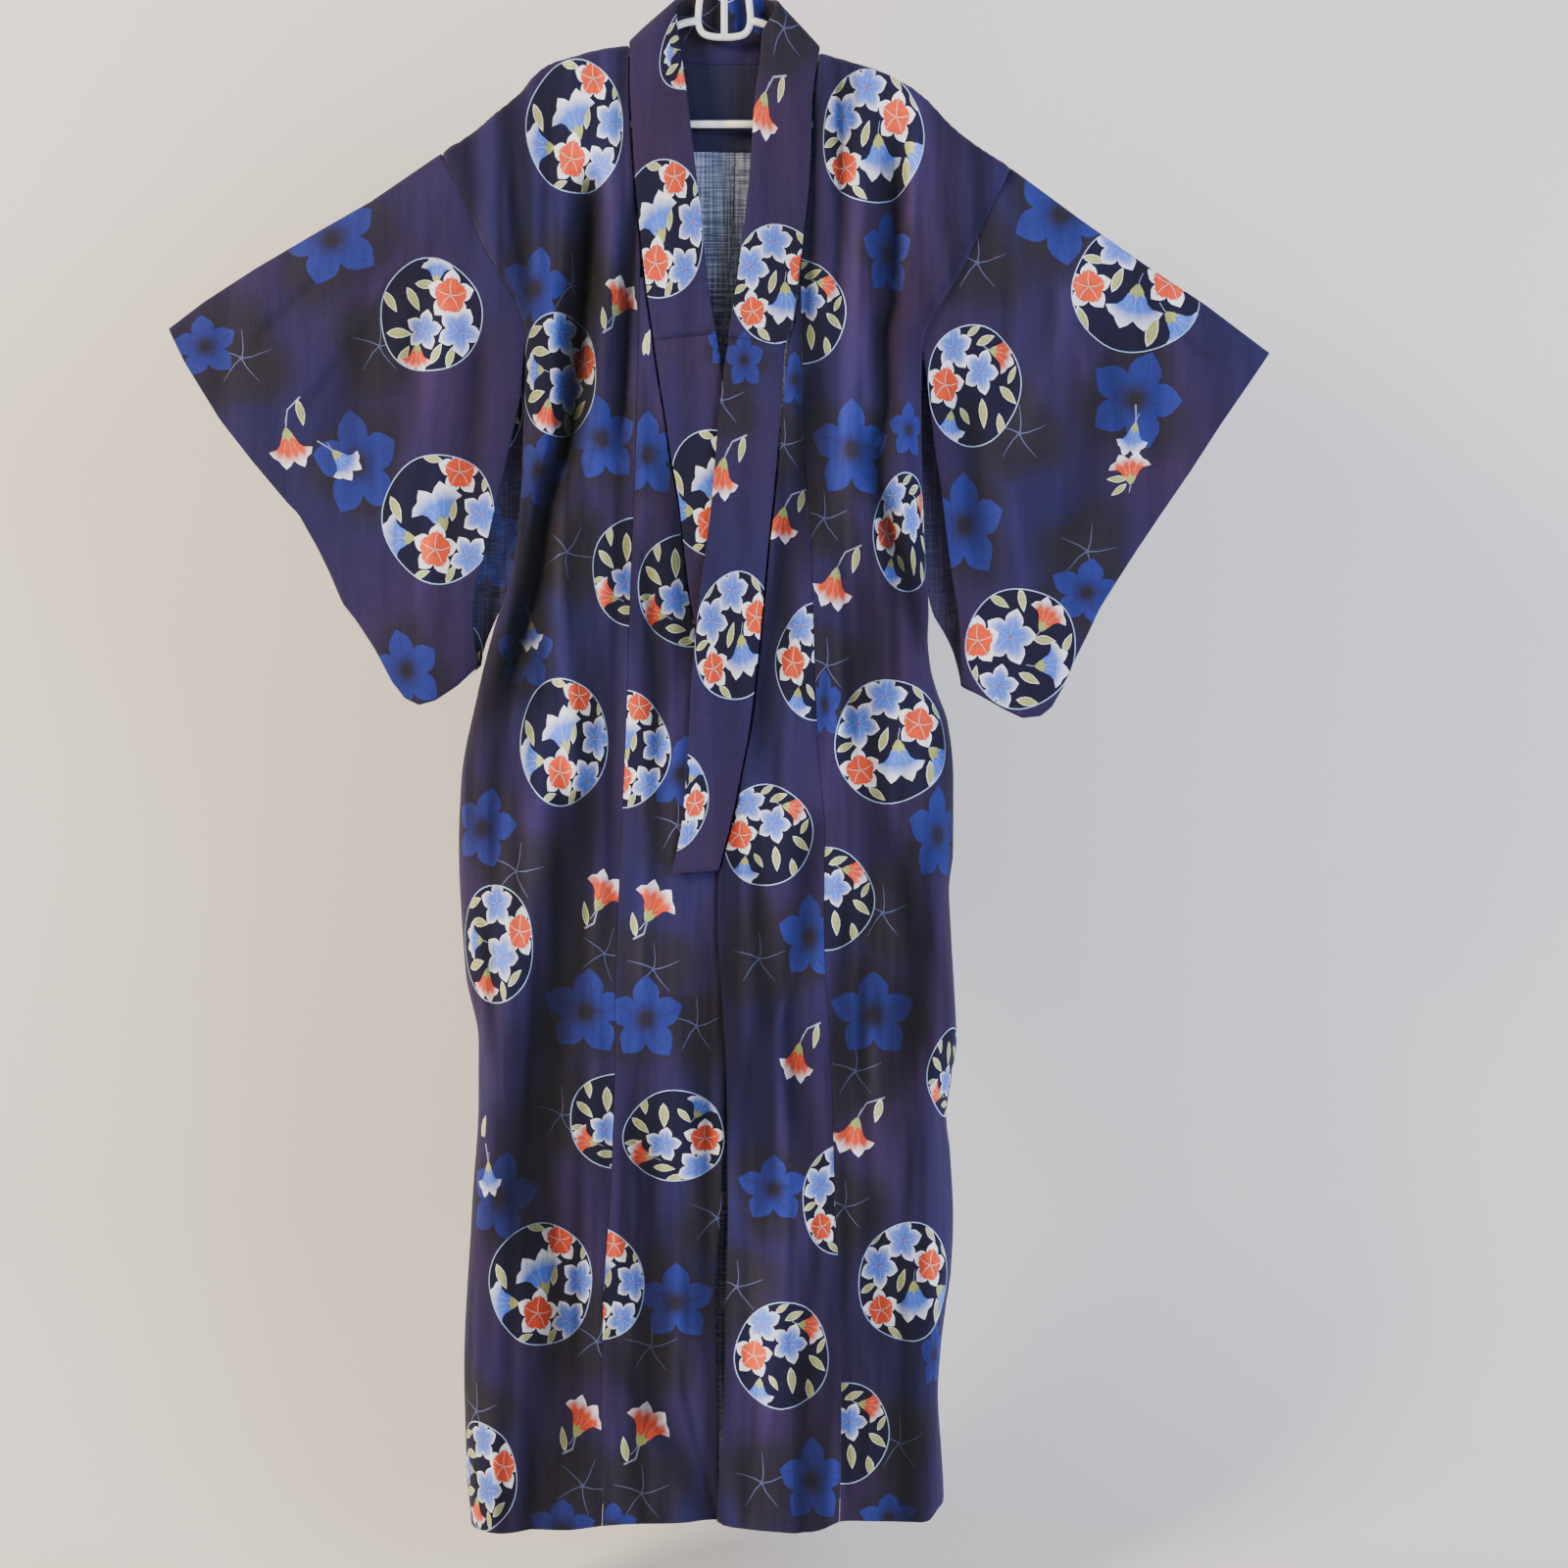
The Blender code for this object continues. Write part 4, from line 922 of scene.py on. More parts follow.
# Contents of each round motif in its unit circle: flowers, side bells, leaves.
# flower: kind, x, y, radius, turn. bell: kind, x, y, size, way. leaf: x, y, size, way.
ROUNDS = {
    "R1": ([("blue", -0.10, -0.72, 0.40, 8), ("blue", -0.58, -0.28, 0.40, 30),
            ("red", 0.47, -0.28, 0.40, 12), ("red", -0.54, 0.46, 0.37, -10)],
           [("blue", 0.12, 0.06, 0.56, 4), ("blue", 0.72, 0.16, 0.56, 50)],
           [(-0.78, -0.62, 0.36, 130), (0.36, -0.92, 0.34, 40), (-0.95, 0.16, 0.34, 115),
            (-0.20, 0.16, 0.42, 160), (0.66, 0.30, 0.58, 8), (-0.40, 0.74, 0.36, 55),
            (0.74, -0.62, 0.30, 30)]),
    "R2": ([("red", 0.36, -0.72, 0.38, 0), ("red", -0.07, 0.48, 0.41, 8),
            ("blue", 0.74, -0.06, 0.37, 20), ("blue", 0.54, 0.60, 0.37, 40)],
           [("blue", 0.06, 0.10, 0.60, 200), ("blue", -0.52, 0.30, 0.50, 270)],
           [(-0.28, -0.94, 0.36, 80), (-0.86, -0.34, 0.46, 25), (0.22, 0.04, 0.40, 175),
            (0.78, -0.40, 0.30, 165), (0.12, 1.0, 0.34, 150), (-0.46, 0.92, 0.32, 110)]),
    "R3": ([("blue", -0.42, -0.62, 0.41, 0), ("red", -0.60, 0.0, 0.42, 10),
            ("blue", 0.16, -0.22, 0.39, 22)],
           [("red", 0.42, -0.56, 0.44, 80), ("blue", -0.48, 0.50, 0.44, 352)],
           [(-0.14, -0.80, 0.34, 120), (0.06, -0.66, 0.42, 110), (0.74, -0.02, 0.34, 150),
            (0.56, 0.02, 0.46, 50), (-0.28, 0.36, 0.34, 35), (0.18, 0.22, 0.50, 5),
            (0.54, 0.46, 0.46, 10)]),
    "R4": ([("red", 0.60, 0.06, 0.43, 0), ("blue", -0.22, 0.18, 0.38, 12),
            ("blue", 0.45, 0.70, 0.42, 30)],
           [("blue", 0.44, -0.46, 0.44, 150), ("red", -0.48, 0.46, 0.44, 260)],
           [(-0.64, -0.90, 0.44, 10), (-0.22, -0.72, 0.54, 2), (-0.84, -0.40, 0.48, 45),
            (0.06, -0.60, 0.40, 40), (-0.98, 0.16, 0.34, 95), (-0.42, 0.68, 0.44, 85),
            (-0.16, 0.94, 0.40, 100)]),
    "R5": ([("blue", 0.07, -0.68, 0.42, 0), ("red", 0.66, -0.22, 0.44, 8),
            ("blue", 0.20, 0.20, 0.44, 20)],
           [("blue", -0.38, -0.06, 0.42, 270), ("red", -0.20, 0.48, 0.46, 350)],
           [(-0.76, -0.62, 0.44, 110), (-0.62, -0.38, 0.46, 85), (-0.76, 0.42, 0.50, 105),
            (0.36, 0.70, 0.44, 130), (0.20, 0.60, 0.40, 10)]),
    "R6": ([("blue", -0.19, -0.18, 0.48, 15), ("red", -0.78, -0.12, 0.42, 0),
            ("blue", -0.40, 0.64, 0.38, 10)],
           [("red", 0.38, -0.34, 0.46, 150), ("blue", 0.34, 0.30, 0.50, 95)],
           [(-0.56, -0.86, 0.40, 60), (-0.02, -0.98, 0.40, 10), (0.22, -0.14, 0.42, 85),
            (0.76, 0.10, 0.38, 155), (-0.86, 0.66, 0.38, 170), (-0.04, 0.42, 0.42, 65),
            (-0.08, 0.86, 0.42, 80)]),
    "R7": ([("blue", -0.24, -0.68, 0.42, 10), ("red", -0.74, -0.02, 0.38, 0),
            ("red", 0.53, -0.10, 0.40, 14)],
           [("blue", 0.02, 0.02, 0.58, 350), ("blue", 0.52, 0.42, 0.52, 45)],
           [(-0.84, -0.48, 0.40, 80), (-0.38, 0.06, 0.44, 155), (-0.92, 0.28, 0.48, 20),
            (0.16, 0.90, 0.52, 160), (0.80, -0.50, 0.30, 20)]),
    "R8": ([("red", 0.40, -0.34, 0.47, 5), ("blue", -0.12, 0.26, 0.37, 12),
            ("blue", 0.56, 0.28, 0.44, 28)],
           [("blue", 0.12, -0.62, 0.40, 175), ("red", -0.26, 0.56, 0.42, 355)],
           [(-0.92, -0.44, 0.46, 35), (-0.46, -0.50, 0.48, 30), (-0.30, -0.56, 0.44, 85),
            (-0.86, 0.30, 0.50, 88), (-0.64, 0.90, 0.44, 150), (0.02, 0.86, 0.42, 150),
            (0.32, 0.92, 0.42, 160)]),
}


def round_motif(art, kind, x, d, w, h, turn):
    """Dark disc with a thin pale ring, filled with bellflowers and leaves."""
    outer = placing(x, d, w, h, turn)
    angles = np.radians(np.arange(0, 360, 7.5))
    sway = 1.0 + 0.018 * np.sin(3 * angles + x) + 0.012 * np.sin(5 * angles + d)
    circle = np.stack([sway * np.cos(angles), sway * np.sin(angles)], axis=1)
    inner = 1.0 - 2.1 / (0.5 * (w + h))
    clip = outer(circle * inner)
    art.add(outer(circle), flat_colour(RING))
    art.add(clip, flat_colour(DISC))
    flowers, bells, leaves = ROUNDS[kind]
    for lx, ly, size, way in leaves:
        leaf(art, outer, lx, ly, size, way, clip)
    for tint, lx, ly, size, way in bells:
        bell_flower(art, outer, lx, ly, size, way, tint, clip)
    for tint, lx, ly, r, spin in flowers:
        open_flower(art, outer, lx, ly, r, spin, tint, clip)


COBALT_SIZE = 1.2


def length_of(pts):
    return np.hypot(pts[:, 0], pts[:, 1])


def cobalt_flower(art, x, d, w, h, turn):
    """Large dim blue bellflower with a soft dark heart and thin dark veins."""
    w, h = w * COBALT_SIZE, h * COBALT_SIZE
    outer = placing(x, d, w, h, turn)
    stops = [(0.0, CHARCOAL), (0.12, CHARCOAL), (0.40, COBALT * 0.85), (0.75, COBALT), (1.3, COBALT)]
    art.add(outer(np.array(petal_ring(1.0, 0.0))), blended(outer, length_of, stops))
    for ring in (0.12, 0.26, 0.42, 0.66):
        angles = np.radians(np.arange(0, 360, 30))
        art.points(outer(np.stack([ring * np.cos(angles), ring * np.sin(angles)], axis=1)))
    unit = 1.8 / w
    for k in range(5):
        a = math.radians(72 * k)
        b = math.radians(72 * k + 9)
        line = [polar(0.2, b), polar(0.5, b), polar(0.86, a)]
        art.add(outer(strip(line, np.array([1.2, 1.0, 0.5]) * unit)), flat_colour(COBALT_DARK))
    art.clouds.append((x, d, w * 0.68))


def ghost_flower(art, x, d, w, h, turn):
    """Faint star of five thin curved lines on a charcoal cloud."""
    outer = placing(x, d, w, h, turn)
    unit = 2.0 / w
    for k in range(5):
        a = math.radians(72 * k)
        line = [polar(r, a + bend) for r, bend in ((0.06, 0.3), (0.34, 0.16), (0.66, 0.05), (1.0, 0.0))]
        art.add(outer(strip(line, np.array([1.0, 0.9, 0.7, 0.35]) * unit)), flat_colour(GHOST_LINE))
    art.add(outer(dot_outline(0.08)), flat_colour(GHOST_LINE * 0.7))
    art.clouds.append((x, d, w * 0.95))


def stroke(art, outer, line, wide, colour):
    art.add(outer(strip(line, wide)), flat_colour(colour))


def sprig(art, kind, x, d, w, h, turn):
    """Small loose sprig: a bell, leaves or both, most with a stem."""
    outer = placing(x, d, w, h, turn)
    unit = 2.0 / w
    thin = np.array([1.5, 1.3, 1.1]) * unit
    if kind == "hang":
        stroke(art, outer, [(0.75, -0.95), (0.1, -0.75), (-0.25, -0.25)], thin, STEM)
        leaf(art, outer, 0.62, -0.92, 0.85, 345, None)
        bell_flower(art, outer, -0.28, -0.10, 1.05, 345, "red", None)
    elif kind == "up":
        stroke(art, outer, [(-0.60, 0.98), (-0.16, 0.80), (0.02, 0.25)], thin * 1.2, STEM)
        leaf(art, outer, -0.48, 0.90, 0.85, 190, None)
        bell_flower(art, outer, 0.02, 0.22, 1.15, 150, "red", None)
    elif kind == "upleaf":
        leaf(art, outer, 0.1, 0.1, 0.8, 250, None)
        leaf(art, outer, 0.0, 0.3, 0.75, 290, None)
        bell_flower(art, outer, 0.2, 0.2, 1.05, 165, "red", None)
    elif kind == "dropblue":
        stroke(art, outer, [(-0.3, -1.0), (-0.1, -0.55), (0.0, -0.15)], thin, STEM)
        bell_flower(art, outer, 0.0, -0.1, 1.15, 5, "blue", None)
    else:
        leaf(art, outer, -0.3, 0.9, 1.6, 160, None)
        leaf(art, outer, 0.1, 0.9, 1.3, 190, None)


def draw(art, table):
    order = {"ghost": 0, "cobalt": 1}
    for kind, x, d, w, h, turn in sorted(table, key=lambda row: order.get(row[0], 2)):
        if kind[0] == "R":
            round_motif(art, kind, x, d, w, h, turn)
        elif kind == "cobalt":
            cobalt_flower(art, x, d, w, h, turn)
        elif kind == "ghost":
            ghost_flower(art, x, d, w, h, turn)
        else:
            sprig(art, kind, x, d, w, h, turn)


def inside(pts, poly):
    """Which points lie inside an outline."""
    hit = np.zeros(len(pts), bool)
    low, high = poly.min(axis=0), poly.max(axis=0)
    near = np.flatnonzero(np.all((pts >= low) & (pts <= high), axis=1))
    ahead = np.roll(poly, -1, axis=0)
    level = poly[:, 1] != ahead[:, 1]
    start, end = poly[level][:, :, None], ahead[level][:, :, None]
    slope = (end[:, 0] - start[:, 0]) / (end[:, 1] - start[:, 1])
    block = max(1, 1500000 // len(poly))
    for first in range(0, len(near), block):
        some = near[first:first + block]
        px, py = pts[some, 0], pts[some, 1]
        crosses = (start[:, 1] > py) != (end[:, 1] > py)
        crosses &= px < slope * (py - start[:, 1]) + start[:, 0]
        hit[some] = crosses.sum(axis=0) % 2 == 1
    return hit


def ground_colour(art, pts):
    """Mottled purple navy, with charcoal clouds round the faint flowers."""
    x, d = pts[:, 0], pts[:, 1]
    drift = 0.5 + 0.5 * np.sin(x / 58.0 + 2.0 * np.sin(d / 170.0)) * np.sin(d / 121.0 + x / 140.0)
    colour = NIGHT[None] * (1 - drift[:, None]) + PLUM[None] * drift[:, None]
    dark = np.zeros(len(pts))
    for cx, cd, size in art.clouds:
        reach = ((x - cx) / size) ** 2 + ((d - cd) / (size * 1.15)) ** 2
        edge = 1.0 + 0.35 * np.sin(np.arctan2(d - cd, x - cx) * 3 + cx)
        dark = np.maximum(dark, np.exp(-(reach * 1.4 / edge) ** 3))
    return colour * (1 - dark[:, None]) + CHARCOAL[None] * dark[:, None]


def edge_samples(poly):
    """Points along an outline, about a millimetre apart."""
    ahead = np.roll(poly, -1, axis=0)
    size = np.linalg.norm(ahead - poly, axis=1)
    parts = []
    for a, b, length in zip(poly, ahead, size):
        share = np.linspace(0.0, 1.0, int(length) + 2)[:-1, None]
        parts.append(a * (1 - share) + b * share)
    return np.concatenate(parts)


def spread(taken, groups, gaps):
    """Keeps the points of each group that lie clear of those already taken."""
    taken = np.concatenate(taken)
    kept = []
    for pts, gap in zip(groups, gaps):
        cells = set()
        for dx in (-1, 0, 1):
            for dy in (-1, 0, 1):
                cell = np.floor(taken / gap).astype(np.int64) + np.array([dx, dy])
                cells.update((cell[:, 0] * 1000003 + cell[:, 1]).tolist())
        code = np.floor(pts / gap).astype(np.int64)
        code = (code[:, 0] * 1000003 + code[:, 1]).tolist()
        pts = pts[[c not in cells for c in code]]
        kept.append(pts)
        taken = np.concatenate([taken, pts])
    return np.concatenate(kept)


def cut_panel(outline, art, step, near_lines=()):
    """Triangles of one flat panel, with a colour for each corner."""
    outline = np.asarray(outline, float)
    low, high = outline.min(axis=0), outline.max(axis=0)
    gx = np.arange(low[0] + step / 2, high[0], step)
    gy = np.arange(low[1] + step / 2, high[1], step)
    grid = np.stack(np.meshgrid(gx, gy), axis=-1)
    grid[1::2, :, 0] += step / 2
    grid = grid.reshape(-1, 2)
    lines = np.concatenate([np.asarray(line) for line in near_lines] + art.extra)
    loose = spread([edge_samples(outline)] + [edge_samples(s) for s, _, _ in art.shapes],
                   [lines, grid], (0.5, 2.0))
    loose = loose[inside(loose, outline)]
    verts = [Vector(p) for p in outline]
    edges = [(i, (i + 1) % len(outline)) for i in range(len(outline))]
    for shape, _, _ in art.shapes:
        if not inside(shape, outline).any():
            continue
        base = len(verts)
        verts += [Vector(p) for p in shape]
        edges += [(base + i, base + (i + 1) % len(shape)) for i in range(len(shape))]
    verts += [Vector(p) for p in loose]
    out = delaunay_2d_cdt(verts, edges, [], 0, 1e-3, False)
    pts = np.array([(v[0], v[1]) for v in out[0]])
    tris = np.array([f for f in out[2] if len(f) == 3])
    mid = pts[tris].mean(axis=1)
    kept = inside(mid, outline)
    tris, mid = tris[kept], mid[kept]
    a, b, c = pts[tris[:, 0]], pts[tris[:, 1]], pts[tris[:, 2]]
    area = (b[:, 0] - a[:, 0]) * (c[:, 1] - a[:, 1]) - (b[:, 1] - a[:, 1]) * (c[:, 0] - a[:, 0])
    keep = np.abs(area) > 1e-5
    tris, mid, area = tris[keep], mid[keep], area[keep]
    tris[area < 0] = tris[area < 0][:, ::-1]
    colours = ground_colour(art, pts)[tris]
    for shape, paint, clip in art.shapes:
        hit = inside(mid, shape)
        if clip is not None and hit.any():
            hit &= inside(mid, clip)
        if hit.any():
            colours[hit] = paint(pts[tris[hit]].reshape(-1, 2)).reshape(-1, 3, 3)
    used = np.unique(tris)
    index = np.zeros(len(pts), int)
    index[used] = np.arange(len(used))
    return pts[used], index[tris], colours


def to_srgb(linear):
    linear = np.clip(linear, 0, 1)
    return np.where(linear <= 0.0031308, linear * 12.92, 1.055 * linear ** (1 / 2.4) - 0.055)


def vertex_normals(pts, tris):
    a, b, c = pts[tris[:, 0]], pts[tris[:, 1]], pts[tris[:, 2]]
    face = np.cross(b - a, c - a)
    total = np.zeros_like(pts)
    for k in range(3):
        np.add.at(total, tris[:, k], face)
    return total / (np.linalg.norm(total, axis=1)[:, None] + 1e-12)


def cloth_object(name, pts, tris, colours, wall, materials, outward, relief, side=0.0):
    """Thin closed cloth: printed outer face, wrong side inside, and a rim."""
    normal = vertex_normals(pts, tris)
    if np.sum(normal * outward(pts)) < 0:
        tris = tris[:, ::-1]
        colours = colours[:, ::-1]
        normal = -normal
    pts = pts + normal * relief[:, None]
    normal = vertex_normals(pts, tris)
    inner = pts - normal * wall
    if side:
        pts[:, 1] = np.where(pts[:, 1] * side < 0.15, 0.15 * side, pts[:, 1])
        inner[:, 1] = np.where(inner[:, 1] * side < 0.1, 0.1 * side, inner[:, 1])
    count = len(pts)
    pairs = np.concatenate([tris[:, [0, 1]], tris[:, [1, 2]], tris[:, [2, 0]]])
    shade = np.concatenate([colours[:, [0, 1]], colours[:, [1, 2]], colours[:, [2, 0]]])
    key = np.sort(pairs, axis=1)
    code = key[:, 0] * np.int64(count) + key[:, 1]
    _, first, number = np.unique(code, return_index=True, return_counts=True)
    rim = first[number == 1]
    ra, rb = pairs[rim, 0], pairs[rim, 1]
    rc = shade[rim]
    rim_one = np.stack([rb, ra, ra + count], axis=1)
    rim_two = np.stack([rb, ra + count, rb + count], axis=1)
    faces = np.concatenate([tris, tris[:, ::-1] + count, rim_one, rim_two])
    shades = np.concatenate([colours, colours[:, ::-1],
                             np.stack([rc[:, 1], rc[:, 0], rc[:, 0]], axis=1),
                             np.stack([rc[:, 1], rc[:, 0], rc[:, 1]], axis=1)])
    every = np.concatenate([pts, inner]) * MM
    mesh = bpy.data.meshes.new(name)
    mesh.from_pydata(every.tolist(), [], faces.tolist())
    tint = mesh.color_attributes.new("print", "BYTE_COLOR", "CORNER")
    rgba = np.ones((len(faces) * 3, 4), np.float32)
    rgba[:, :3] = to_srgb(shades.reshape(-1, 3))
    tint.data.foreach_set("color_srgb", rgba.ravel())
    which = np.zeros(len(faces), np.int32)
    which[len(tris):2 * len(tris)] = 1
    for mat in materials:
        mesh.materials.append(mat)
    mesh.polygons.foreach_set("material_index", which)
    mesh.shade_smooth()
    obj = bpy.data.objects.new(name, mesh)
    bpy.context.collection.objects.link(obj)
    return obj


# Places of the printed motifs, read one by one: kind, x, d, width, height, turn.
FRONT_RIGHT_PRINT = [
    ("R2", -158, 224, 104, 145, 0), ("cobalt", -201, 398, 62, 77, 10),
    ("ghost", -162, 393, 62, 73, 0), ("R5", -177, 489, 87, 132, 0), ("up", -115, 416, 42, 62, 0),
    ("cobalt", -128, 560, 64, 81, -8), ("cobalt", -196, 591, 54, 73, 20),
    ("ghost", -165, 679, 58, 62, 30), ("R4", -92, 700, 94, 116, 0),
    ("dropblue", -205, 757, 31, 46, 0), ("cobalt", -209, 786, 54, 69, 0),
    ("R2", -168, 879, 92, 135, 0), ("cobalt", -253, 970, 62, 73, 15),
    ("ghost", -217, 1015, 58, 62, 10), ("R5", -240, 1092, 83, 125, 0),
    ("up", -132, 1045, 46, 62, 0), ("ghost", -125, 1102, 58, 58, 20),
    ("cobalt", -144, 1163, 79, 77, 5), ("ghost", -170, 1272, 58, 62, 0),
    ("R4", -111, 1277, 102, 100, 0), ("leafsprig", -258, 1283, 25, 31, 0),
    ("cobalt", -235, 1358, 67, 83, 12), ("dropblue", -249, 1329, 35, 52, 0),
    ("R2", -191, 1449, 109, 129, 0), ("ghost", -132, 1508, 58, 58, 15),
    ("ghost", -262, 1584, 52, 62, 0), ("ghost", -147, 1659, 62, 62, 25),
    ("up", -154, 1596, 48, 62, 0), ("R5", -256, 1652, 79, 116, 0),
    ("cobalt", -168, 1704, 62, 52, 0),
]
OKUMI_RIGHT_PRINT = [
    ("leafsprig", -81, 453, 25, 37, 0), ("cobalt", -80, 576, 58, 79, 0),
    ("R4", -40, 718, 100, 121, 0), ("R2", -106, 887, 100, 125, 0), ("cobalt", -46, 913, 54, 69, 10),
    ("ghost", -48, 967, 52, 62, 0), ("up", -79, 1056, 52, 62, 0), ("ghost", -73, 1118, 58, 58, 0),
    ("cobalt", -81, 1170, 69, 77, 0), ("ghost", -28, 1178, 52, 62, 0),
    ("R4", -51, 1293, 107, 96, 0), ("ghost", -6, 1379, 58, 62, 10), ("R2", -132, 1449, 100, 119, 0),
    ("cobalt", -49, 1467, 71, 69, 0), ("ghost", -76, 1514, 58, 58, 0), ("up", -87, 1605, 56, 64, 0),
    ("ghost", -85, 1667, 62, 62, 0), ("cobalt", -115, 1701, 46, 42, 0),
]
COLLAR_RIGHT_PRINT = [
    ("R5", -40, 144, 64, 77, 0), ("R2", -69, 336, 100, 150, 0), ("cobalt", -1, 458, 27, 42, 0),
    ("R2", -11, 617, 94, 137, 0),
]
COLLAR_LEFT_PRINT = [
    ("ghost", 64, 119, 58, 62, 0), ("hang", 49, 200, 46, 73, 0), ("R1", 59, 395, 104, 131, 0),
    ("cobalt", 22, 476, 37, 52, 0), ("ghost", -2, 519, 52, 58, 0), ("hang", 7, 589, 48, 69, 0),
    ("R1", 14, 769, 89, 137, 0), ("R4", -50, 943, 69, 104, 0),
]
OKUMI_LEFT_PRINT = [
    ("cobalt", 75, 497, 35, 52, 0), ("ghost", 64, 566, 52, 58, 0), ("hang", 70, 640, 46, 58, 0),
    ("R3", 100, 796, 89, 125, 0), ("R3", 46, 977, 96, 107, 0), ("cobalt", 91, 1085, 56, 77, 0),
    ("ghost", 38, 1107, 58, 58, 0), ("hang", 86, 1204, 44, 64, 0), ("cobalt", 53, 1347, 64, 60, 0),
    ("R1", 127, 1360, 89, 116, 0), ("ghost", 15, 1449, 58, 58, 0), ("R3", 62, 1520, 99, 112, 0),
    ("cobalt", 94, 1652, 60, 77, 0), ("ghost", 41, 1652, 58, 62, 0),
]
FRONT_LEFT_PRINT = [
    ("R1", 158, 234, 108, 147, 0), ("R3", 83, 424, 92, 114, 0), ("cobalt", 174, 360, 44, 79, 0),
    ("cobalt", 135, 571, 71, 92, 0), ("ghost", 106, 644, 52, 58, 0), ("hang", 126, 705, 52, 69, 0),
    ("R3", 194, 658, 71, 127, 0), ("cobalt", 196, 549, 35, 52, 0), ("ghost", 109, 799, 52, 58, 0),
    ("R1", 177, 879, 121, 131, 0), ("cobalt", 107, 840, 31, 62, 0), ("cobalt", 227, 977, 54, 87, 0),
    ("R3", 108, 1044, 101, 109, 0), ("ghost", 168, 1059, 58, 62, 0),
    ("cobalt", 158, 1166, 77, 77, 0), ("ghost", 139, 1225, 58, 58, 0),
    ("hang", 148, 1282, 58, 62, 0), ("R4", 250, 1230, 71, 96, 0), ("ghost", 128, 1367, 56, 58, 0),
    ("R1", 194, 1447, 104, 126, 0), ("cobalt", 229, 1527, 35, 62, 0),
    ("R3", 124, 1603, 103, 106, 0), ("ghost", 185, 1616, 58, 62, 0),
    ("cobalt", 174, 1693, 54, 42, 0),
]
SLEEVE_LEFT_PRINT = [
    ("cobalt", 360, 315, 92, 92, 30), ("R7", 440, 395, 139, 138, 0), ("ghost", 270, 368, 64, 64, 0),
    ("R3", 266, 498, 100, 130, 0), ("cobalt", 439, 513, 87, 89, 20),
    ("dropblue", 438, 545, 37, 52, 15), ("upleaf", 427, 596, 56, 50, -20),
    ("ghost", 315, 550, 62, 62, 0), ("cobalt", 256, 648, 75, 96, 0),
    ("ghost", 388, 675, 62, 62, 10), ("cobalt", 388, 719, 69, 62, 10),
    ("R6", 317, 778, 119, 129, 0),
]
SLEEVE_RIGHT_PRINT = [
    ("cobalt", -419, 341, 92, 87, -20), ("cobalt", -554, 456, 62, 58, -10),
    ("ghost", -515, 469, 67, 62, 0), ("ghost", -368, 456, 62, 62, 0),
    ("R8", -313, 424, 110, 122, 0), ("hang", -458, 549, 56, 69, -25),
    ("cobalt", -391, 582, 79, 100, -10), ("dropblue", -413, 573, 42, 52, -40),
    ("R2", -304, 640, 121, 139, 0), ("cobalt", -339, 802, 64, 75, -15),
]

# Backs and the neck aren't seen in the photo: the same motifs, spread in the same rhythm.
BACK_RIGHT_PRINT = [
    ("R4", -120, 250, 100, 120, 0), ("cobalt", -205, 300, 60, 76, 10), ("ghost", -60, 320, 58, 62, 0),
    ("R1", -180, 420, 96, 124, 0), ("cobalt", -90, 430, 64, 80, -8), ("up", -40, 420, 46, 62, 0),
    ("R8", -70, 560, 98, 126, 0), ("cobalt", -170, 570, 60, 76, 5), ("ghost", -130, 640, 58, 62, 20),
    ("R3", -190, 700, 96, 128, 0), ("dropblue", -40, 680, 35, 52, 0), ("cobalt", -70, 750, 66, 80, 0),
    ("R6", -130, 850, 102, 124, 0), ("ghost", -220, 840, 58, 60, 10), ("cobalt", -30, 880, 60, 76, 12),
    ("R2", -220, 970, 96, 126, 0), ("ghost", -120, 980, 60, 62, 0), ("R7", -60, 1030, 98, 122, 0),
    ("up", -160, 1070, 48, 62, 0), ("cobalt", -200, 1120, 66, 80, 8), ("R5", -120, 1190, 96, 124, 0),
    ("ghost", -40, 1180, 58, 60, 25), ("cobalt", -220, 1250, 62, 78, 0), ("R4", -200, 1370, 102, 118, 0),
    ("cobalt", -60, 1320, 66, 80, -5), ("hang", -110, 1370, 48, 60, 0), ("R8", -60, 1460, 100, 122, 0),
    ("ghost", -150, 1490, 60, 62, 0), ("cobalt", -230, 1520, 64, 78, 15), ("R1", -140, 1600, 100, 124, 0),
    ("cobalt", -50, 1620, 64, 80, 0), ("R6", -230, 1660, 94, 116, 0),
]
BACK_LEFT_PRINT = [(kind, -x - 8, d + 55, w, h, turn) for kind, x, d, w, h, turn in BACK_RIGHT_PRINT]
# Neck part of the collar: across (mm), share of its length, size and turn.
NECK_PRINT = [("cobalt", -30, 0.452, 54, 60, 90), ("R3", -30, 0.5, 80, 100, 90),
              ("up", -28, 0.545, 40, 52, 90), ("cobalt", -92, 0.36, 56, 66, 0),
              ("ghost", -96, 0.46, 56, 60, 0), ("cobalt", -88, 0.53, 50, 60, 90),
              ("ghost", -92, 0.60, 56, 60, 0)]


# Cloth materials
def noise(nodes, scale, detail):
    node = nodes.new("ShaderNodeTexNoise")
    node.inputs["Scale"].default_value = scale
    node.inputs["Detail"].default_value = detail
    return node


def added(nodes, links, one, two):
    node = nodes.new("ShaderNodeMath")
    node.operation = "ADD"
    links.new(one, node.inputs[0])
    links.new(two, node.inputs[1])
    return node.outputs[0]


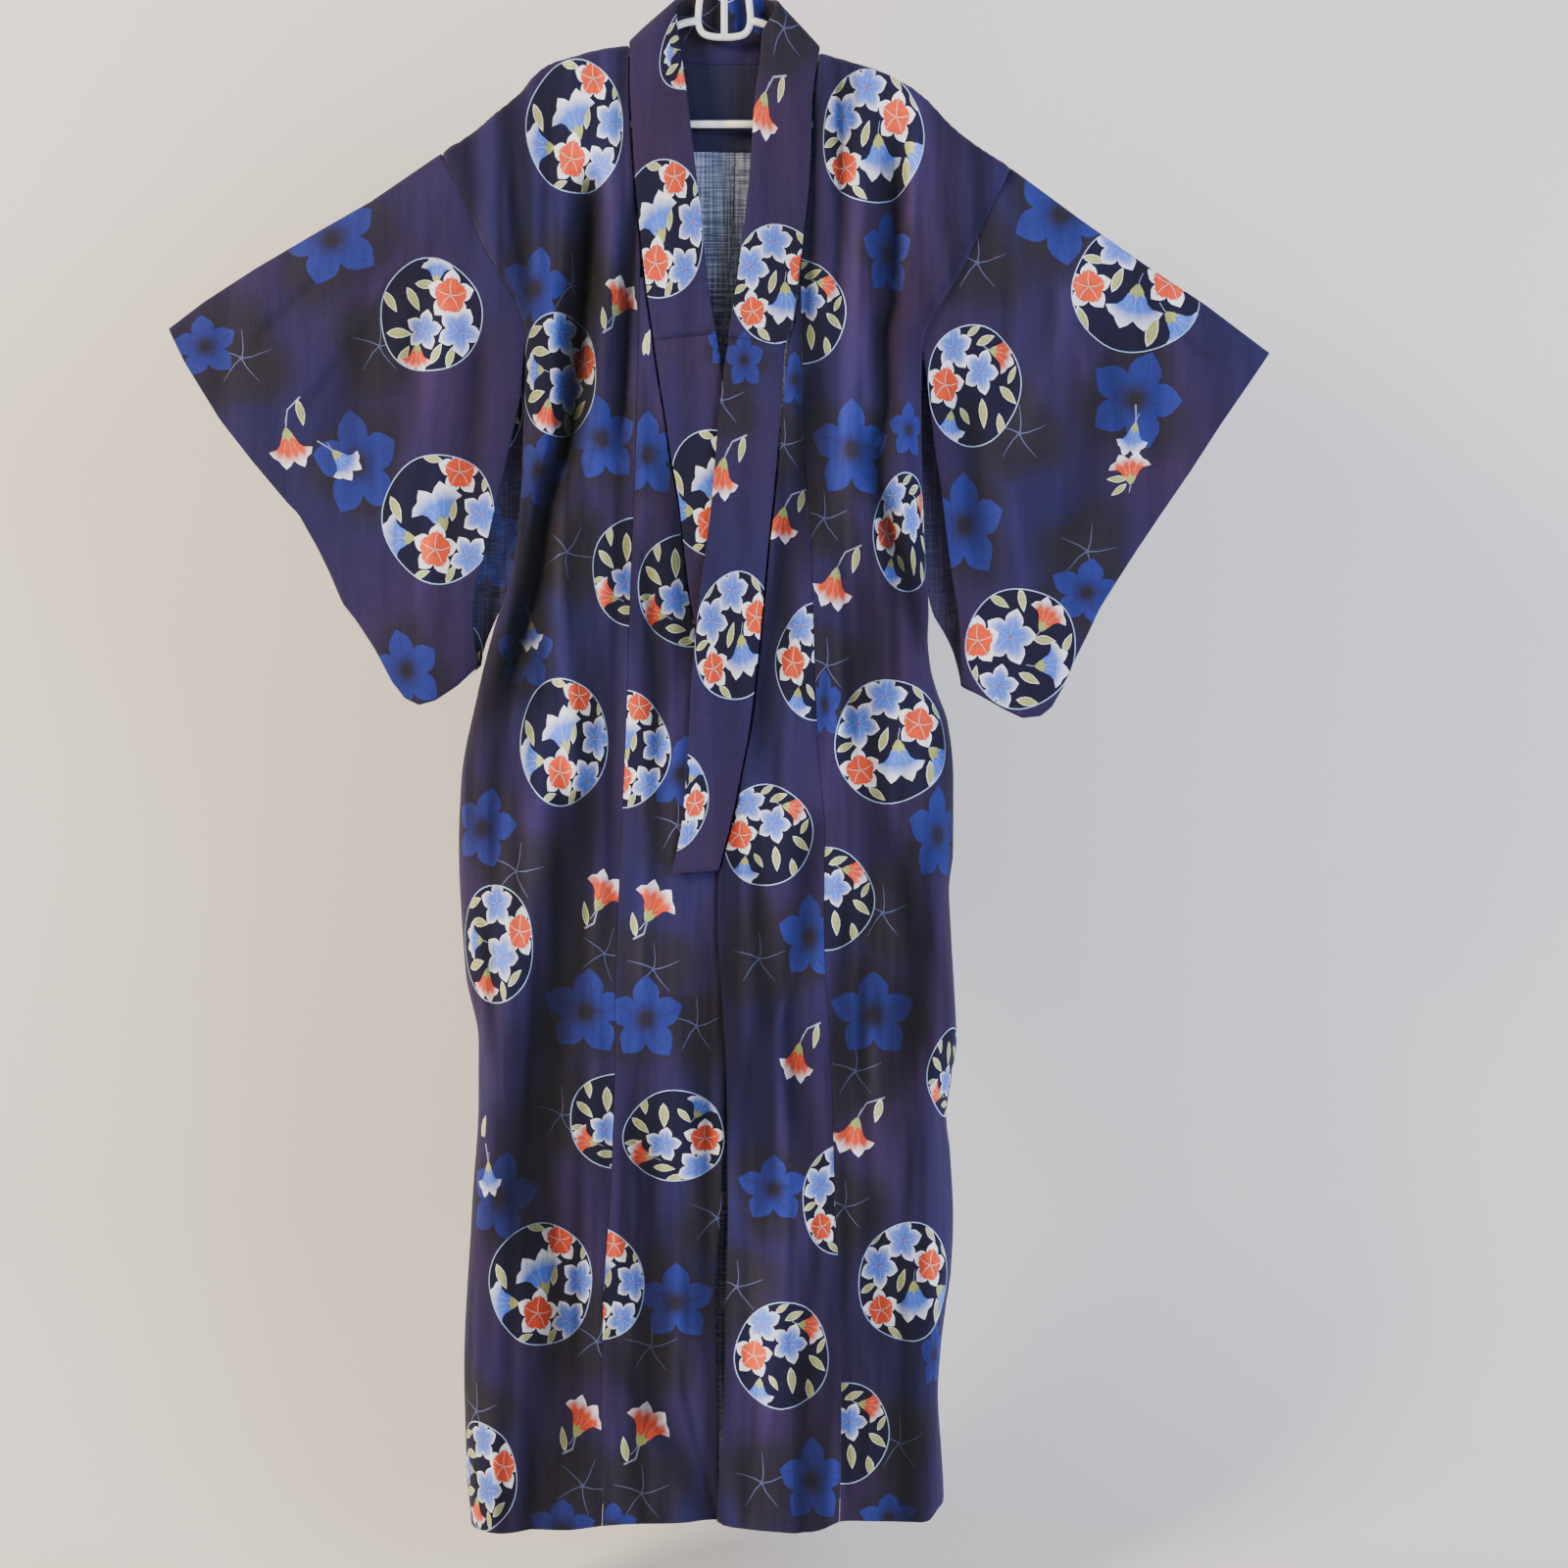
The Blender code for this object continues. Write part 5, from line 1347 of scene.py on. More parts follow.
def weave_height(nodes, links, place, pitch):
    """Fine plain weave from two crossed sets of waves in object space."""
    bands = []
    for turn in ("X", "Z"):
        wave = nodes.new("ShaderNodeTexWave")
        wave.wave_type = "BANDS"
        wave.bands_direction = turn
        wave.inputs["Scale"].default_value = pitch
        wave.inputs["Distortion"].default_value = 0.0
        links.new(place, wave.inputs["Vector"])
        bands.append(wave.outputs["Fac"])
    return added(nodes, links, *bands)


def drawn_noise(nodes, links, place, scale, detail):
    """Noise drawn out by a different scale along each axis."""
    along = nodes.new("ShaderNodeMapping")
    along.inputs["Scale"].default_value = scale
    links.new(place, along.inputs["Vector"])
    node = noise(nodes, 1.0, detail)
    links.new(along.outputs["Vector"], node.inputs["Vector"])
    return node.outputs["Fac"]


def ranged(nodes, links, source, low, high, to_low, to_high):
    """Maps a value from one range to another, clamped."""
    node = nodes.new("ShaderNodeMapRange")
    node.inputs["From Min"].default_value = low
    node.inputs["From Max"].default_value = high
    node.inputs["To Min"].default_value = to_low
    node.inputs["To Max"].default_value = to_high
    links.new(source, node.inputs["Value"])
    return node.outputs["Result"]


def bumped(nodes, links, height, strength, distance, below=None):
    """Bump of a height in metres, laid over another bump where one is given."""
    node = nodes.new("ShaderNodeBump")
    node.inputs["Strength"].default_value = strength
    node.inputs["Distance"].default_value = distance
    links.new(height, node.inputs["Height"])
    if below is not None:
        links.new(below, node.inputs["Normal"])
    return node.outputs["Normal"]


def mixed(nodes, links, mode, share, first, second):
    node = nodes.new("ShaderNodeMix")
    node.data_type = "RGBA"
    node.blend_type = mode
    if isinstance(share, float):
        node.inputs[0].default_value = share
    else:
        links.new(share, node.inputs[0])
    for slot, value in ((6, first), (7, second)):
        if isinstance(value, tuple):
            node.inputs[slot].default_value = value
        else:
            links.new(value, node.inputs[slot])
    return node.outputs[2]


WEAVE_PITCH = 260.0
WARP_RUN = (620.0, 620.0, 11.0)
WEFT_RUN = (22.0, 620.0, 700.0)
DRAPE_RUN = (30.0, 12.0, 3.2)
CRUMPLE_RUN = (75.0, 60.0, 22.0)
FADED = "#66728c"
BARE_THREAD = "#c4cddc"
SHEEN = "#c9cfe4"


def cotton(name, paleness, hang):
    """Printed cotton: slubs, plain weave, dry sheen. Paleness fades it, hang gives upright folds as bump and
    as painted shade and highlight in the colour.
    """
    mat, nodes, links, shader = new_material(name, 0.88)
    tint = nodes.new("ShaderNodeVertexColor")
    tint.layer_name = "print"
    place = nodes.new("ShaderNodeTexCoord").outputs["Object"]
    weave = weave_height(nodes, links, place, WEAVE_PITCH)
    warp = drawn_noise(nodes, links, place, WARP_RUN, 1.0)
    weft = drawn_noise(nodes, links, place, WEFT_RUN, 1.0)
    slubs = added(nodes, links, warp, weft)
    drape = drawn_noise(nodes, links, place, DRAPE_RUN, 2.0)
    soft = drawn_noise(nodes, links, place, CRUMPLE_RUN, 2.0)
    uneven = ranged(nodes, links, slubs, 0.75, 1.25, 0.91, 1.09)
    colour = mixed(nodes, links, "MULTIPLY", 1.0, tint.outputs["Color"], uneven)
    # Painted shade and highlight of the upright folds: the noise that bumps the cloth also darkens and
    # lightens its colour.
    painted_drape_shade = ranged(nodes, links, drape, 0.39, 0.59, 1.0 - 0.58 * hang, 1.0 + 0.14 * hang)
    colour = mixed(nodes, links, "MULTIPLY", 1.0, colour, painted_drape_shade)
    if paleness > 0.0:
        faded = mixed(nodes, links, "MIX", paleness, colour, solid(FADED))
        thread = ranged(nodes, links, slubs, 0.92, 1.18, 0.0, 1.2 * paleness ** 1.5)
        colour = mixed(nodes, links, "MIX", thread, faded, solid(BARE_THREAD))
    links.new(colour, shader.inputs["Base Color"])
    fall = bumped(nodes, links, drape, 0.8 * hang, 0.012)
    crumple = bumped(nodes, links, soft, 0.55, 0.003, fall)
    links.new(bumped(nodes, links, weave, 0.35, 0.0002, crumple), shader.inputs["Normal"])
    shader.inputs["Sheen Weight"].default_value = 0.10
    shader.inputs["Sheen Roughness"].default_value = 0.5
    shader.inputs["Sheen Tint"].default_value = solid(SHEEN)
    shader.inputs["Specular IOR Level"].default_value = 0.22
    return mat


RIGHT_SIDE = cotton("cotton_print", 0.0, 1.0)
SMOOTH_SIDE = cotton("cotton_print_smooth", 0.0, 0.35)
WRONG_SIDE = cotton("cotton_wrong_side", 0.62, 0.5)
# Inside the sleeves the wrong side is faded far less, so it stays dark: painted shade for the shadow inside a
# sleeve.
SLEEVE_INSIDE_SHADED = cotton("cotton_sleeve_inside_shaded", 0.12, 0.5)


def plastic():
    """Smooth white plastic of the hanger."""
    mat, nodes, links, shader = new_material("white_plastic", 0.32)
    shader.inputs["Base Color"].default_value = solid("#f0efea")
    place = nodes.new("ShaderNodeTexCoord").outputs["Object"]
    soft = noise(nodes, 40.0, 2.0)
    links.new(place, soft.inputs["Vector"])
    links.new(bumped(nodes, links, soft.outputs["Fac"], 0.06, 0.0004), shader.inputs["Normal"])
    return mat


# Front and back panels
GRID = 5.0            # gap of the plain points in the flat panels
BAND_GRID = 5.5
SLEEVE_GRID = 6.0
CLOTH = 0.95          # thickness of the shell
HEM_STITCH = 13.0     # height of the stitched line above the hem
HEM_ROWS = (1.5, 10.0, 13.0, 16.0)
SEAM_DEEP = 0.7
BACK_SEAM_DEEP = 0.3
BACK_TUCK = -1.3      # the left back lies this much over the right one at the seam


def outline_of(s, t):
    """Closed outline round a grid of flat places."""
    s = np.asarray(s)
    t = np.asarray(t)
    rim = [np.stack([s[0], t[0]], 1), np.stack([s[1:, -1], t[1:, -1]], 1),
           np.stack([s[-1, -2::-1], t[-1, -2::-1]], 1), np.stack([s[-2:0:-1, 0], t[-2:0:-1, 0]], 1)]
    return np.concatenate(rim)


def seam_dip(pts, seam, deep=SEAM_DEEP):
    """How far cloth sinks beside a seam line."""
    off = np.abs(pts[:, 0] - seam(pts[:, 1]))
    return deep * np.exp(-(off / 2.6) ** 2)


def seam_rows(seam, low, high, sign):
    at = np.arange(low, high, 5.0)
    return [np.stack([seam(at) + sign * off, at], axis=1) for off in (1.5, 3.2, 6.5)]


def hem_dip(pts):
    """Shallow stitched line above the folded hem."""
    up = HEM_AT(pts[:, 0]) - pts[:, 1]
    return 0.45 * np.exp(-((up - HEM_STITCH) / 2.2) ** 2)


def panel_grid(side, layer, inner_at, cols, rows):
    """Flat places of a body panel: outer edge to inner seam, shoulder to hem."""
    roll = (math.pi / 2) * SHOULDER_ROLL
    s = np.zeros((len(ROWS_TOP) + rows, cols))
    t = np.zeros_like(s)
    for j, u in enumerate(np.linspace(0.0, 1.0, cols)):
        top = top_of_column(side, layer, u, inner_at)
        start = top + SHOULDER_ROLL - roll
        if layer == "back":
            edge = float(side_edge(side, layer, top)[0])
            at = edge + u * (float(inner_at(top)) - edge)
            near = float(ease((NECK_PART - abs(at)) / NECK_BLEND))
            start = start * (1 - near) + (float(NECK_AT(at)) + 1.2) * near
        rows_at = panel_rows(rows, start, LOW_ROW)
        for step in range(2):
            d = np.maximum(rows_at, top)
            edge = side_edge(side, layer, d)[0]
            s[:, j] = edge + u * (inner_at(d) - edge)
            if step == 0:
                rows_at = start + (rows_at - start) * (HEM_AT(s[-1, j]) - start) / (LOW_ROW - start)
        t[:, j] = rows_at
    return s, t


def sided(line, side, shift):
    move = -shift if side == "R" else shift
    return lambda d: line(d) + move


def facing(layer):
    way = -1.0 if layer == "front" else 1.0
    return lambda pts: np.stack([pts[:, 0] * 0, pts[:, 1] * 0 + way, pts[:, 2] * 0], axis=1)


def dress(piece, nodes):
    """Ties a finished cloth to its body and hides the solids it stands for."""
    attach(piece, "root")
    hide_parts(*nodes)


def panel_points(side, layer, flat):
    """Place of flat panel points in space, with the folds of the hanging cloth."""
    lift = lift_for(side) if layer == "front" else 0.0
    x, y, d = body(side, layer, flat[:, 0], flat[:, 1], lift)
    return np.stack([x, y, -d], axis=1)


def body_cloth(name, side, layer, table):
    """One front or back panel with its print."""
    seam = OKUMI[side] if layer == "front" else SEAM_AT
    tuck = side == "L" and layer == "back"
    inner = sided(seam, side, -1.0 if tuck else HALF_GAP)
    s, t = panel_grid(side, layer, inner, 26, 190)
    art = Print()
    draw(art, table)
    sign = 1.0 if side == "R" else -1.0
    low_end = float(t[-1, -1])
    high_end = float(t[0, -1])
    near = seam_rows(inner, high_end, low_end, -sign)
    near += [np.stack([s[-1], t[-1] - up], axis=1) for up in HEM_ROWS]
    pts, tris, colours = cut_panel(outline_of(s, t), art, GRID, near)
    place = panel_points(side, layer, pts)
    # Painted shade in the fold troughs and painted highlight on the ridges, multiplied into the print
    # colours.
    colours = colours * painted_crease_shade(layer, place[:, 0], pts[:, 1])[tris][..., None]
    relief = ripple(place[:, 0], pts[:, 1]) * np.clip((pts[:, 1] - high_end) / 60.0, 0.2, 1.0)
    deep = SEAM_DEEP if layer == "front" else BACK_SEAM_DEEP
    relief -= seam_dip(pts, inner, BACK_TUCK if tuck else deep)
    relief -= hem_dip(pts)
    obj = cloth_object(name + "_cloth", place, tris, colours, CLOTH, (RIGHT_SIDE, WRONG_SIDE),
                       facing(layer), relief)
    dress(obj, [name])


body_cloth("front_right", "R", "front", FRONT_RIGHT_PRINT)
body_cloth("front_left", "L", "front", FRONT_LEFT_PRINT)
body_cloth("back_right", "R", "back", BACK_RIGHT_PRINT)
body_cloth("back_left", "L", "back", BACK_LEFT_PRINT)


# Overlap panels
def okumi_cloth(name, side, table):
    """One overlap panel, from under the collar to the hem."""
    sign = 1.0 if side == "R" else -1.0
    front = okumi_front(side)
    rows = np.concatenate([np.arange(OKUMI_TOP, LOW_ROW, 7.0), [LOW_ROW]])
    cols = 18
    s = np.zeros((len(rows), cols))
    t = np.zeros_like(s)
    for j, u in enumerate(np.linspace(0.0, 1.0, cols)):
        a = OKUMI[side](rows) + sign * HALF_GAP
        b = front(rows) - sign * np.where(rows < COLLAR_END, 1.1, HALF_GAP)
        s[:, j] = a + u * (b - a)
        t[:, j] = OKUMI_TOP + (rows - OKUMI_TOP) * (HEM_AT(s[:, j]) - OKUMI_TOP) / (LOW_ROW - OKUMI_TOP)
    art = Print()
    draw(art, table)
    inner = sided(OKUMI[side], side, -HALF_GAP)
    near = seam_rows(inner, OKUMI_TOP, 1696.0, sign)
    near += seam_rows(lambda d: front(d) - sign, OKUMI_TOP, 1696.0, -sign)
    near += [np.stack([s[-1], t[-1] - up], axis=1) for up in HEM_ROWS]
    pts, tris, colours = cut_panel(outline_of(s, t), art, GRID, near)
    place = panel_points(side, "front", pts)
    # Painted shade in the fold troughs and painted highlight on the ridges, multiplied into the print
    # colours.
    colours = colours * painted_crease_shade("front", place[:, 0], pts[:, 1])[tris][..., None]
    relief = ripple(place[:, 0], pts[:, 1])
    relief -= seam_dip(pts, inner) + hem_dip(pts)
    free = np.abs(pts[:, 0] - front(pts[:, 1]))
    relief -= np.where(pts[:, 1] > COLLAR_END, 0.35, 0.7) * np.exp(-(free / 2.0) ** 2)
    relief -= np.where(pts[:, 1] > 1030.0, 0.35, 0.0) * np.exp(-((free - 11.0) / 1.8) ** 2)
    obj = cloth_object(name + "_cloth", place, tris, colours, CLOTH, (RIGHT_SIDE, WRONG_SIDE),
                       facing("front"), relief)
    dress(obj, [name])


okumi_cloth("okumi_right", "R", OKUMI_RIGHT_PRINT)
okumi_cloth("okumi_left", "L", OKUMI_LEFT_PRINT)


# Collar
# Flat collar: across is 0 at the sewn edge and falls to the outer edge of its inner face.
def band_lines(first, last, count):
    """Smooth edge lines of the band at even steps between two stations."""
    rows = np.array([list(a) + list(b) for a, b in STATIONS], float)
    lines = [curve(list(zip(range(len(rows)), rows[:, k]))) for k in range(6)]
    at = np.linspace(first, last, count)
    values = np.stack([line(at) for line in lines], axis=1)
    values[:, 2] *= -1
    values[:, 5] *= -1
    return values[:, :3], values[:, 3:]


class Band:
    """Folded collar strip: maps flat places to space and photo places to flat."""

    def __init__(self, first, last, half, lip):
        self.a, self.b = band_lines(first, last, 700)
        mid = (self.a + self.b) / 2
        steps = np.linalg.norm(np.diff(mid, axis=0), axis=1)
        self.along = np.concatenate([[0.0], np.cumsum(steps)])
        self.wide = np.linalg.norm(self.b - self.a, axis=1)
        self.half = half
        self.lip = lip
        self.bend = math.pi * half
        way = np.gradient(mid, self.along, axis=0)
        across = (self.b - self.a) / self.wide[:, None]
        out = np.cross(way, across)
        self.out = out / np.linalg.norm(out, axis=1)[:, None]
        if self.out[5, 1] > 0:
            self.out = -self.out
        self.across = across

    def at(self, length, lines):
        return np.stack([np.interp(length, self.along, lines[:, k]) for k in range(lines.shape[1])],
                        axis=1)

    def outline(self):
        n = 260
        length = np.linspace(0.0, self.along[-1], n)
        full = 2 * np.interp(length, self.along, self.wide) + self.bend
        ends = np.linspace(0.0, 1.0, 20)[1:-1]
        right = np.stack([np.zeros(n), length], axis=1)
        left = np.stack([-full, length], axis=1)[::-1]
        far = np.stack([-full[-1] * ends, np.full(18, length[-1])], axis=1)
        near = np.stack([-full[0] * ends[::-1], np.zeros(18)], axis=1)
        return np.concatenate([right, far, left, near])

    def place(self, flat):
        w, length = -flat[:, 0], flat[:, 1]
        wide = np.interp(length, self.along, self.wide)
        a = self.at(length, self.a)
        across = self.at(length, self.across)
        out = self.at(length, self.out)
        run = wide + self.lip - self.half
        turn = np.clip((w - run) / self.half, 0.0, math.pi)
        back = w - run - self.bend
        u = np.where(w < run, w, np.where(back < 0, run + self.half * np.sin(turn), run - back))
        u = np.maximum(u, 0.3)
        h = self.half * np.cos(turn)
        return a + across * u[:, None] + out * h[:, None]

    def face_way(self, flat):
        """Outward direction of the sheet at flat places."""
        w, length = -flat[:, 0], flat[:, 1]
        wide = np.interp(length, self.along, self.wide)
        run = wide + self.lip - self.half
        turn = np.clip((w - run) / self.half, 0.0, math.pi)
        return (self.at(length, self.out) * np.cos(turn)[:, None]
                + self.at(length, self.across) * np.sin(turn)[:, None])

    def flat_place(self, side, x, d):
        """Nearest flat place on one front's outer face to a photo place, and its turn."""
        u = np.linspace(0.0, 1.0, 25)[None, :, None]
        face = self.a[:, None] * (1 - u) + self.b[:, None] * u
        gap = (face[..., 0] - x) ** 2 + (face[..., 2] + d) ** 2
        half = self.along[:, None] < self.along[-1] / 2
        gap = gap + np.where(face[..., 1] > 4.0, 1e6, 0.0)
        gap = gap + np.where(half == (side == "R"), 0.0, 1e6)
        i, j = np.unravel_index(np.argmin(gap), gap.shape)
        k = min(max(i, 3), len(self.a) - 4)
        way = (self.a + self.b)[k + 3] - (self.a + self.b)[k - 3]
        turn = math.degrees(math.atan2(-way[0], -way[2]))
        extra_x = x - face[i, j, 0]
        extra_d = d + face[i, j, 2]
        c, s = math.cos(math.radians(turn)), math.sin(math.radians(turn))
        return (-self.wide[i] * j / 24.0 + c * extra_x + s * extra_d,
                self.along[i] - s * extra_x + c * extra_d, turn)


def band_cloth(name, band, tables, wall, nodes):
    """One folded collar cloth with its print."""
    art = Print()
    rows = []
    for side, table in tables.items():
        for kind, x, d, w, h, turn in table:
            across, length, swing = band.flat_place(side, x, d)
            rows.append((kind, across, length, w, h, turn - swing))
    for kind, across, share, w, h, turn in NECK_PRINT:
        rows.append((kind, across, band.along[-1] * share, w, h, turn))
    draw(art, rows)
    length = np.arange(2.0, band.along[-1], 4.0)
    run = np.interp(length, band.along, band.wide) + band.lip - band.half
    near = [np.stack([-(run + band.bend * k / 6.0), length], axis=1) for k in range(7)]
    near += [np.stack([-off + length * 0, length], axis=1) for off in (1.5, 3.0, 6.0)]
    pts, tris, colours = cut_panel(band.outline(), art, BAND_GRID, near)
    place = band.place(pts)
    relief = band_relief(band, pts)
    obj = cloth_object(name + "_cloth", place, tris, colours, wall, (SMOOTH_SIDE, WRONG_SIDE),
                       lambda p: band.face_way(pts), relief)
    dress(obj, nodes)


def band_relief(band, flat):
    """Loose waves of the doubled band and the pull of the seam at its sewn edge."""
    w, length = -flat[:, 0], flat[:, 1]
    free = np.clip(w / 20.0, 0, 1) * np.clip((np.interp(length, band.along, band.wide) - w) / 12.0, 0, 1)
    wave = 0.35 * np.sin(length / 23.0 + 1.6 * np.sin(length / 71.0)) + 0.25 * np.sin(length / 9.0 + w / 17.0)
    return wave * free - 0.5 * np.exp(-(w / 2.0) ** 2)


COLLAR = Band(0.0, float(len(STATIONS) - 1), COLLAR_HALF, 0.0)
OVER = Band(13.4, len(STATIONS) - 1 - 13.2, COLLAR_HALF + 1.35, 1.4)
COLLAR_PRINT = {"R": COLLAR_RIGHT_PRINT, "L": COLLAR_LEFT_PRINT}
band_cloth("collar", COLLAR, COLLAR_PRINT, 0.6, ["collar"])
band_cloth("over_collar", OVER, COLLAR_PRINT, 0.8, ["over_collar"])


# Lining patch inside the back neck
NECK_SIDES = (-62.0, 66.0)
NECK_LOW = 243.0


def neck_patch():
    """Dark patch with a centre seam, just inside the back panels."""
    cols, rows = 60, 40
    xs = np.linspace(*NECK_SIDES, cols)
    pts = np.zeros((rows, cols, 3))
    for j, x in enumerate(xs):
        side = "R" if x < float(SEAM_AT(200.0)) else "L"
        top = float(NECK_AT(x)) - 1.0
        d = np.linspace(top, NECK_LOW, rows)
        px, py, pd = body(side, "back", np.full(rows, x), d)
        pts[:, j] = np.stack([px, py - WALL - 0.55, -pd], axis=1)
        pts[:, j, 1] += 0.5 * np.exp(-((x - SEAM_AT(d)) / 1.6) ** 2)
    flat = pts.reshape(-1, 3)
    tris = []
    for i in range(rows - 1):
        for j in range(cols - 1):
            a = i * cols + j
            tris += [(a, a + 1, a + cols), (a + 1, a + cols + 1, a + cols)]
    tris = np.array(tris)
    colours = np.broadcast_to(LINING, (len(tris), 3, 3)).copy()
    obj = cloth_object("neck_lining_cloth", flat, tris, colours, 0.7, (SMOOTH_SIDE, SMOOTH_SIDE),
                       facing("front"), np.zeros(len(flat)))
    dress(obj, ["neck_lining"])


neck_patch()


# Sleeves
def sleeve_cloth(name, side, layer, table):
    """One half of a sleeve, from its top fold to the rounded bottom corner."""
    grid = sleeve_grid(side, layer, 50, 70)
    art = Print()
    draw(art, table)
    outline = outline_of(grid[..., 0], grid[..., 1])
    centre = outline.mean(axis=0)
    near = [outline + (centre - outline) * off / np.linalg.norm(outline - centre, axis=1)[:, None]
            for off in (1.2, 2.6, 5.0, 9.0)]
    pts, tris, colours = cut_panel(outline, art, SLEEVE_GRID, near)
    x, d = pts[:, 0], pts[:, 1]
    top, cuff, _, inner, inner_back = SLEEVES[side]
    closed = np.minimum(distance(x, d, top), distance(x, d, shut_line(side)))
    y = sleeve_y(side, layer, x, d)
    way = -1.0 if layer == "front" else 1.0
    roll = np.sqrt(np.clip(1 - (1 - np.clip(closed / 3.5, 0, 1)) ** 2, 0, 1))
    y = y - way * WALL * (1 - roll)
    place = np.stack([x, y, -d], axis=1)
    relief = ripple(x, d) * np.clip(closed / 25.0, 0, 1)
    arm = inner if layer == "front" else inner_back
    relief -= 0.7 * np.exp(-(distance(x, d, arm) / 2.6) ** 2)
    to_cuff = distance(x, d, cuff)
    relief -= 0.4 * np.exp(-((to_cuff - 9.0) / 1.8) ** 2)
    if layer == "back":
        relief += 3.5 * np.exp(-(distance(x, d, inner_back[2:]) / 14.0) ** 2)
    creases = np.zeros(len(x))
    for half, deep, a, b in FINE_SLEEVE[side]:
        along, off = along_line(x, d, a, b)
        creases += deep * ease(along / 0.3) * ease((1 - along) / 0.3) * np.exp(-(off / half) ** 2)
    relief -= creases
    # Painted shade in the sleeve's creases and folds, with faint upright streaks of painted light and shade,
    # multiplied into the print colours.
    shade = np.exp(-FINE_DARK * creases) * np.exp(-SLEEVE_DARK * sleeve_fold(x, d))
    shade = np.clip(shade * (1.04 + 0.11 * streaks(x, d)), 0.1, 1.5)
    colours = colours * shade[tris][..., None]
    obj = cloth_object(name + "_cloth", place, tris, colours, CLOTH, (SMOOTH_SIDE, SLEEVE_INSIDE_SHADED),
                       facing(layer), relief, way)
    dress(obj, [name])


# Fine sleeve creases: half width, depth, start (x, d), end (x, d).
FINE_SLEEVE = {
    "R": [(7, 2.0, (-300, 300), (-350, 520)), (6, -1.6, (-330, 330), (-420, 480)),
          (8, 2.0, (-260, 420), (-270, 640)), (6, 1.8, (-380, 420), (-470, 560)),
          (7, -1.8, (-300, 560), (-330, 760)), (6, 1.6, (-410, 360), (-520, 470))],
    "L": [(7, 2.0, (300, 320), (300, 540)), (6, -1.6, (340, 350), (400, 520)),
          (8, 2.0, (262, 470), (268, 700)), (6, 1.8, (400, 430), (440, 600)),
          (7, -1.8, (300, 580), (330, 780)), (6, 1.6, (440, 400), (530, 480))],
}


def mirrored(table, centre):
    """The same motifs seen on the other half of a sleeve."""
    return [(kind, 2 * centre - x, d + 18, w, h, -turn) for kind, x, d, w, h, turn in table]


sleeve_cloth("sleeve_right_front", "R", "front", SLEEVE_RIGHT_PRINT)
sleeve_cloth("sleeve_right_back", "R", "back", mirrored(SLEEVE_LEFT_PRINT, 0.0))
sleeve_cloth("sleeve_left_front", "L", "front", SLEEVE_LEFT_PRINT)
sleeve_cloth("sleeve_left_back", "L", "back", mirrored(SLEEVE_RIGHT_PRINT, 0.0))


# Hanger
HOOK_ROD = 3.4   # rod radius of the hook
ROD_SIDES = 20
HANGER_PATHS = [
    # rod radius, closed, points (x, d)
    (3.6, True, [(-20, 60), (0, 58), (20, 60), (25, 68), (27, 90), (28.5, 104), (27, 114),
                 (22, 121), (12, 123.5), (0, 124), (-12, 123.5), (-22, 121), (-27, 114),
                 (-28.5, 104), (-27, 90), (-25, 68)]),
    (3.6, False, [(0, 58), (0, 90), (0, 124)]),
    (4.0, False, [(27, 106), (42, 109), (56, 117), (82, 133), (102, 147.5), (133, 157),
                  (160, 165.5), (184, 176), (195, 185), (199, 194), (193, 205), (178, 213),
                  (150, 216), (100, 217), (50, 217), (0, 217)]),
    (4.0, False, [(-27, 106), (-42, 108), (-56, 114), (-82, 132), (-102, 142.5), (-133, 148),
                  (-160, 155), (-182, 166), (-192, 176), (-197, 190), (-192, 203), (-178, 212),
                  (-150, 216), (-100, 217), (-50, 217), (0, 217)]),
]


